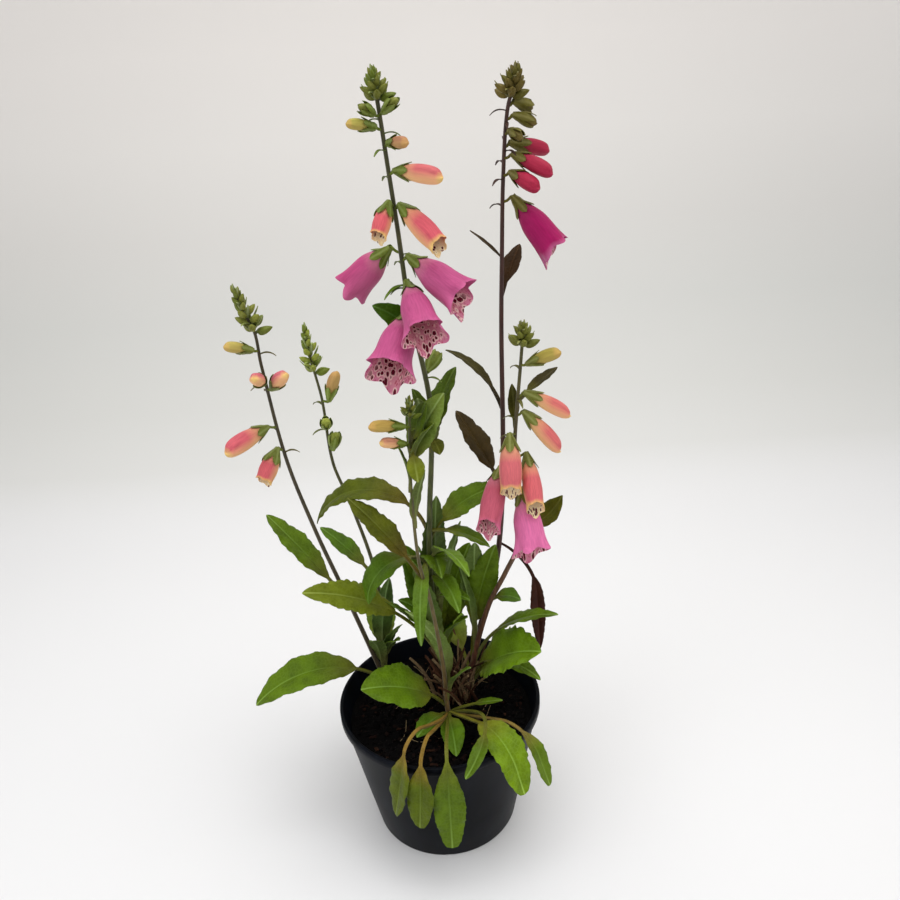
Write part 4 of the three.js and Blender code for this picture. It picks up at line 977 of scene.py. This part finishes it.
def footstalk(flower, tint):
    """Stalk on a cubic Bezier curve from the stem, out to the side and round onto the flower's
    axis, widening at the end into the seat of the flower."""
    forward = flower["axes"][0]
    out = flower["out"] * flower["footstalk"]
    ends = [flower["root"], flower["root"] + 0.7 * out, flower["foot"] - 4.5 * forward,
            flower["foot"] - 0.6 * forward]
    t = np.linspace(0, 1, stalk_steps)[:, None]
    weights = [(1 - t) ** 3, 3 * t * (1 - t) ** 2, 3 * t**2 * (1 - t), t**3]
    path = sum(weight * end for weight, end in zip(weights, ends))
    radius = 0.95 + 1.0 * np.clip((t.ravel() - 0.75) / 0.25, 0, 1) ** 1.5
    return rod(path, radius, 12, **rest_marks(tint, 2 * path[:, None]))


def young_bud(foot, turn, rise, long, wide, tint):
    """Bud still shut in its sepals: half its width is wide / 2 times sin(pi t^0.75)^0.7, with
    five ridges where the sepals overlap."""
    forward, left, up = directions(turn, rise)
    t = np.linspace(0.001, 0.999, 12)[:, None]
    angle = circle(15)[None]
    radius = wide / 2 * np.sin(np.pi * t**0.75) ** 0.7 * (1 + 0.09 * np.cos(5 * angle))
    rings = (foot + t[..., None] * long * forward + (radius * np.cos(angle))[..., None] * up
             + (radius * np.sin(angle))[..., None] * left)
    return tube(rings, **rest_marks(tint, rings))


for name, grown in placed.items():
    start, count, size, spread, tint, bud_tint, bract_tint = spikes[name]
    surfaces = []
    for i, flower in enumerate(grown):
        wrapped = flower["kind"] == "green"
        reach = 0.86 * flower["long"] if wrapped else min(0.48 * flower["long"], sepal_limit)
        surfaces += [sepal(flower, 72 * k, reach, tint) for k in range(5)]
        surfaces.append(footstalk(flower, tint))
        if wrapped:
            heart = flower | dict(long=0.96 * flower["long"], tint=bud_tint)
            rings, marks = shut_corolla(heart)
            surfaces.append(tube(rings, **rest_marks(bud_tint, marks["spot"])))
        aside = 150 if i % 2 == 0 else -80
        bract = sprout(flower["at"], flower["side"] + aside, 30, 80, bract_long, bract_wide,
                       stalk=0, teeth=0, tint=bract_tint)
        surfaces.append(blade(stem_at(name, flower["at"] - 5), bract))
    top = stems[name]["guide"][-1][2]
    for i in range(count):
        share = i / (count - 1)
        foot = stem_at(name, start + (top - 2 - start) * share)
        turn, rise, young = 137.5 * i, 20 + 55 * share, 1 - 0.45 * share
        heart = foot + spread * 0.5 * young * heading(turn, rise)
        surfaces.append(young_bud(heart, turn, rise, (0.6 * spread + 1.05 * size) * young,
                                  0.62 * size * young, bud_tint if i % 3 else tint))
        bract = sprout(foot[2], turn + 60, 35 + 40 * share, 60 if i % 4 == 0 else -20,
                       1.7 * size * young, 3, stalk=0, teeth=0, tint=tint)
        surfaces.append(blade(foot, bract))
    piece(f"calyxes_{name}", surfaces, leaf_skin, foliage[name], f"shoot_{name}")

# ---------------------------------------------------------------- the stamens
# Four stamens lie along the upper side of each open flower, in two pairs, with a slender
# filament and a plump pollen sac apiece.

pollen, pollen_tree, pollen_shader = finish("pollen_and_filament", {"Roughness": 0.7})
pollen_place = add(pollen_tree, "TexCoord").outputs["Object"]
pollen_grain = add(pollen_tree, "TexNoise", {"Vector": pollen_place, "Scale": 1 / (0.8 * mm)})
pollen_stops = [(0.35, "#CDB98A"), (0.65, "#EFE6C4")]
pollen_tint = add(pollen_tree, "ValToRGB", {"Fac": pollen_grain}, pollen_stops)
pollen_relief = {"Height": pollen_grain, "Strength": 0.4, "Distance": 0.3 * mm}
pollen_bump = add(pollen_tree, "Bump", pollen_relief)
add(pollen_tree, pollen_shader, {"Base Color": pollen_tint, "Normal": pollen_bump})

# Each stamen's angle round the flower, and the share of the flower's length where it ends.
stamens = (-50, 0.66), (-18, 0.8), (18, 0.8), (50, 0.66)
stamen_gap, filament_radius, sac_radius = 1.1, 0.35, 1.05
for name, grown in placed.items():
    for i, flower in enumerate(grown):
        if flower["kind"] not in mouth_habit:
            continue
        knots, sizes = corolla_shape[flower["kind"]]
        surfaces = []
        for turn, end in stamens:
            share = np.linspace(0.3, end, 12)
            core = flower["wide"] / 2 * smooth(knots, sizes, share) - corolla_wall - stamen_gap
            path = flower_point(flower, share * flower["long"], np.maximum(core, 0.4),
                                np.radians(turn))
            surfaces.append(rod(path, filament_radius, 6))
            ends = flower_point(flower, (end + np.array([-0.03, 0.05])) * flower["long"],
                                core[-1] - 0.4, np.radians(turn))
            t = np.linspace(0, 1, 9)
            path = ends[0] + t[:, None] * (ends[1] - ends[0])
            surfaces.append(rod(path, 0.06 + sac_radius * np.sin(np.pi * t) ** 0.6, 10, 0.08))
        piece(f"stamens_{name}_{i + 1}", surfaces, pollen, petal_slots[flower["petal"]],
              f"{flower['kind']}_{name}_{i + 1}")

# ---------------------------------------------------------------- the studio
# Seamless pale paper that runs from under the pot up into a wall, with the fall of light on it
# painted into its colour by height, three large soft lamps on the plant and one on the wall, and a
# camera above the pot, looking down at it.

paper_height, sweep_start, sweep_radius = 0.65, 0.5, 0.7


def paper_with_painted_falloff():
    """Matt background paper with painted shade and light that follow its height: a faint blue-grey
    on the floor, a painted shade of darker grey low on the curve, and a painted glow of warm white
    higher up the wall."""
    material, tree, shader = finish("studio_paper_painted_falloff", {"Roughness": 0.9})
    place = add(tree, "TexCoord").outputs["Object"]
    rise = add(tree, "SeparateXYZ", {"Vector": place}).outputs["Z"]
    # Painted shade and light: the ramp darkens the paper low on the curve and lightens it up the
    # wall, standing in for how the light falls on it.
    stops = [(0, "#E6E6E7"), (0.04, "#DCDCDA"), (0.12, "#D9D9D6"), (0.3, "#D9D9D6"),
             (0.5, "#E1DFDC"), (0.75, "#EEEBE8"), (1, "#F4F0ED")]
    level = add(tree, "Math", {0: rise, 1: 1 / paper_height}, operation="MULTIPLY")
    tint = add(tree, "ValToRGB", {"Fac": level}, stops)
    fibre = add(tree, "TexNoise", {"Vector": place, "Scale": 1 / (3 * mm), "Detail": 4})
    bump = add(tree, "Bump", {"Height": fibre, "Strength": 0.05, "Distance": 0.2 * mm})
    add(tree, shader, {"Base Color": tint, "Normal": bump})
    return material


turn = np.linspace(0, np.pi / 2, 32)
curve = sweep_start + sweep_radius * np.sin(turn)
depth = np.concatenate([[-3], curve, [sweep_start + sweep_radius]])
height = np.concatenate([[0], sweep_radius * (1 - np.cos(turn)), [4]])
paper = bpy.data.meshes.new("studio_paper")
sheet = [(x, y, z) for x in (-4, 4) for y, z in zip(depth, height)]
count = len(depth)
paper.from_pydata(sheet, [], [(k, k + 1, count + k + 1, count + k)[::-1] for k in range(count - 1)])
paper.materials.append(paper_with_painted_falloff())
paper.shade_smooth()
stand("studio_paper", paper)

world = bpy.data.worlds.new("soft_room")
world.use_nodes = True
add(world.node_tree, world.node_tree.nodes["Background"],
    {"Color": paint("#E9E9E8"), "Strength": 0.9})
bpy.context.scene.world = world


def lamp(name, place, aim, size, spread, watts, code):
    """Square soft box at a place, turned to face its aim, with its beam kept within a spread
    in degrees by a honeycomb grid."""
    light = bpy.data.lights.new(name, "AREA")
    light.size, light.energy, light.color = size, watts, paint(code)[:3]
    light.spread = np.radians(spread)
    fixture = stand(name, light)
    fixture.location = place
    fixture.rotation_euler = (Vector(aim) - Vector(place)).to_track_quat("-Z", "Y").to_euler()


lamp("top_softbox", (0, 0, 1.5), (0, 0, 0), 1.0, 100, 2.7, "#FFFFFF")
lamp("key_softbox", (0.9, -0.3, 1.5), (0, 0, 0.2), 1.2, 90, 1.95, "#FFFDFA")
lamp("fill_softbox", (-1.1, -0.7, 1.2), (0, 0, 0.2), 1.2, 90, 1.6, "#F8FAFF")
lamp("wall_softbox", (0, 0.3, 1.6), (0, 1.2, 0.65), 1.0, 90, 0.6, "#FFF9F0")

pitch, roll = 0.426102887, -0.0610884364
eye = Vector((21.54, -574.78, 608.87)) * mm
ahead = Vector((0, np.cos(pitch), -np.sin(pitch)))
above = Vector((0, np.sin(pitch), np.cos(pitch)))
level = Vector((1, 0, 0))
right = level * np.cos(roll) + above * np.sin(roll)
above = above * np.cos(roll) - level * np.sin(roll)
lens = bpy.data.cameras.new("camera")
lens.lens, lens.sensor_width, lens.clip_start = 34, 36, 0.02
camera = stand("camera", lens)
turned_to = Matrix((right, above, -ahead)).transposed()
camera.matrix_world = Matrix.Translation(eye) @ turned_to.to_4x4()
bpy.context.scene.camera = camera
bpy.context.scene.view_settings.view_transform = "Standard"
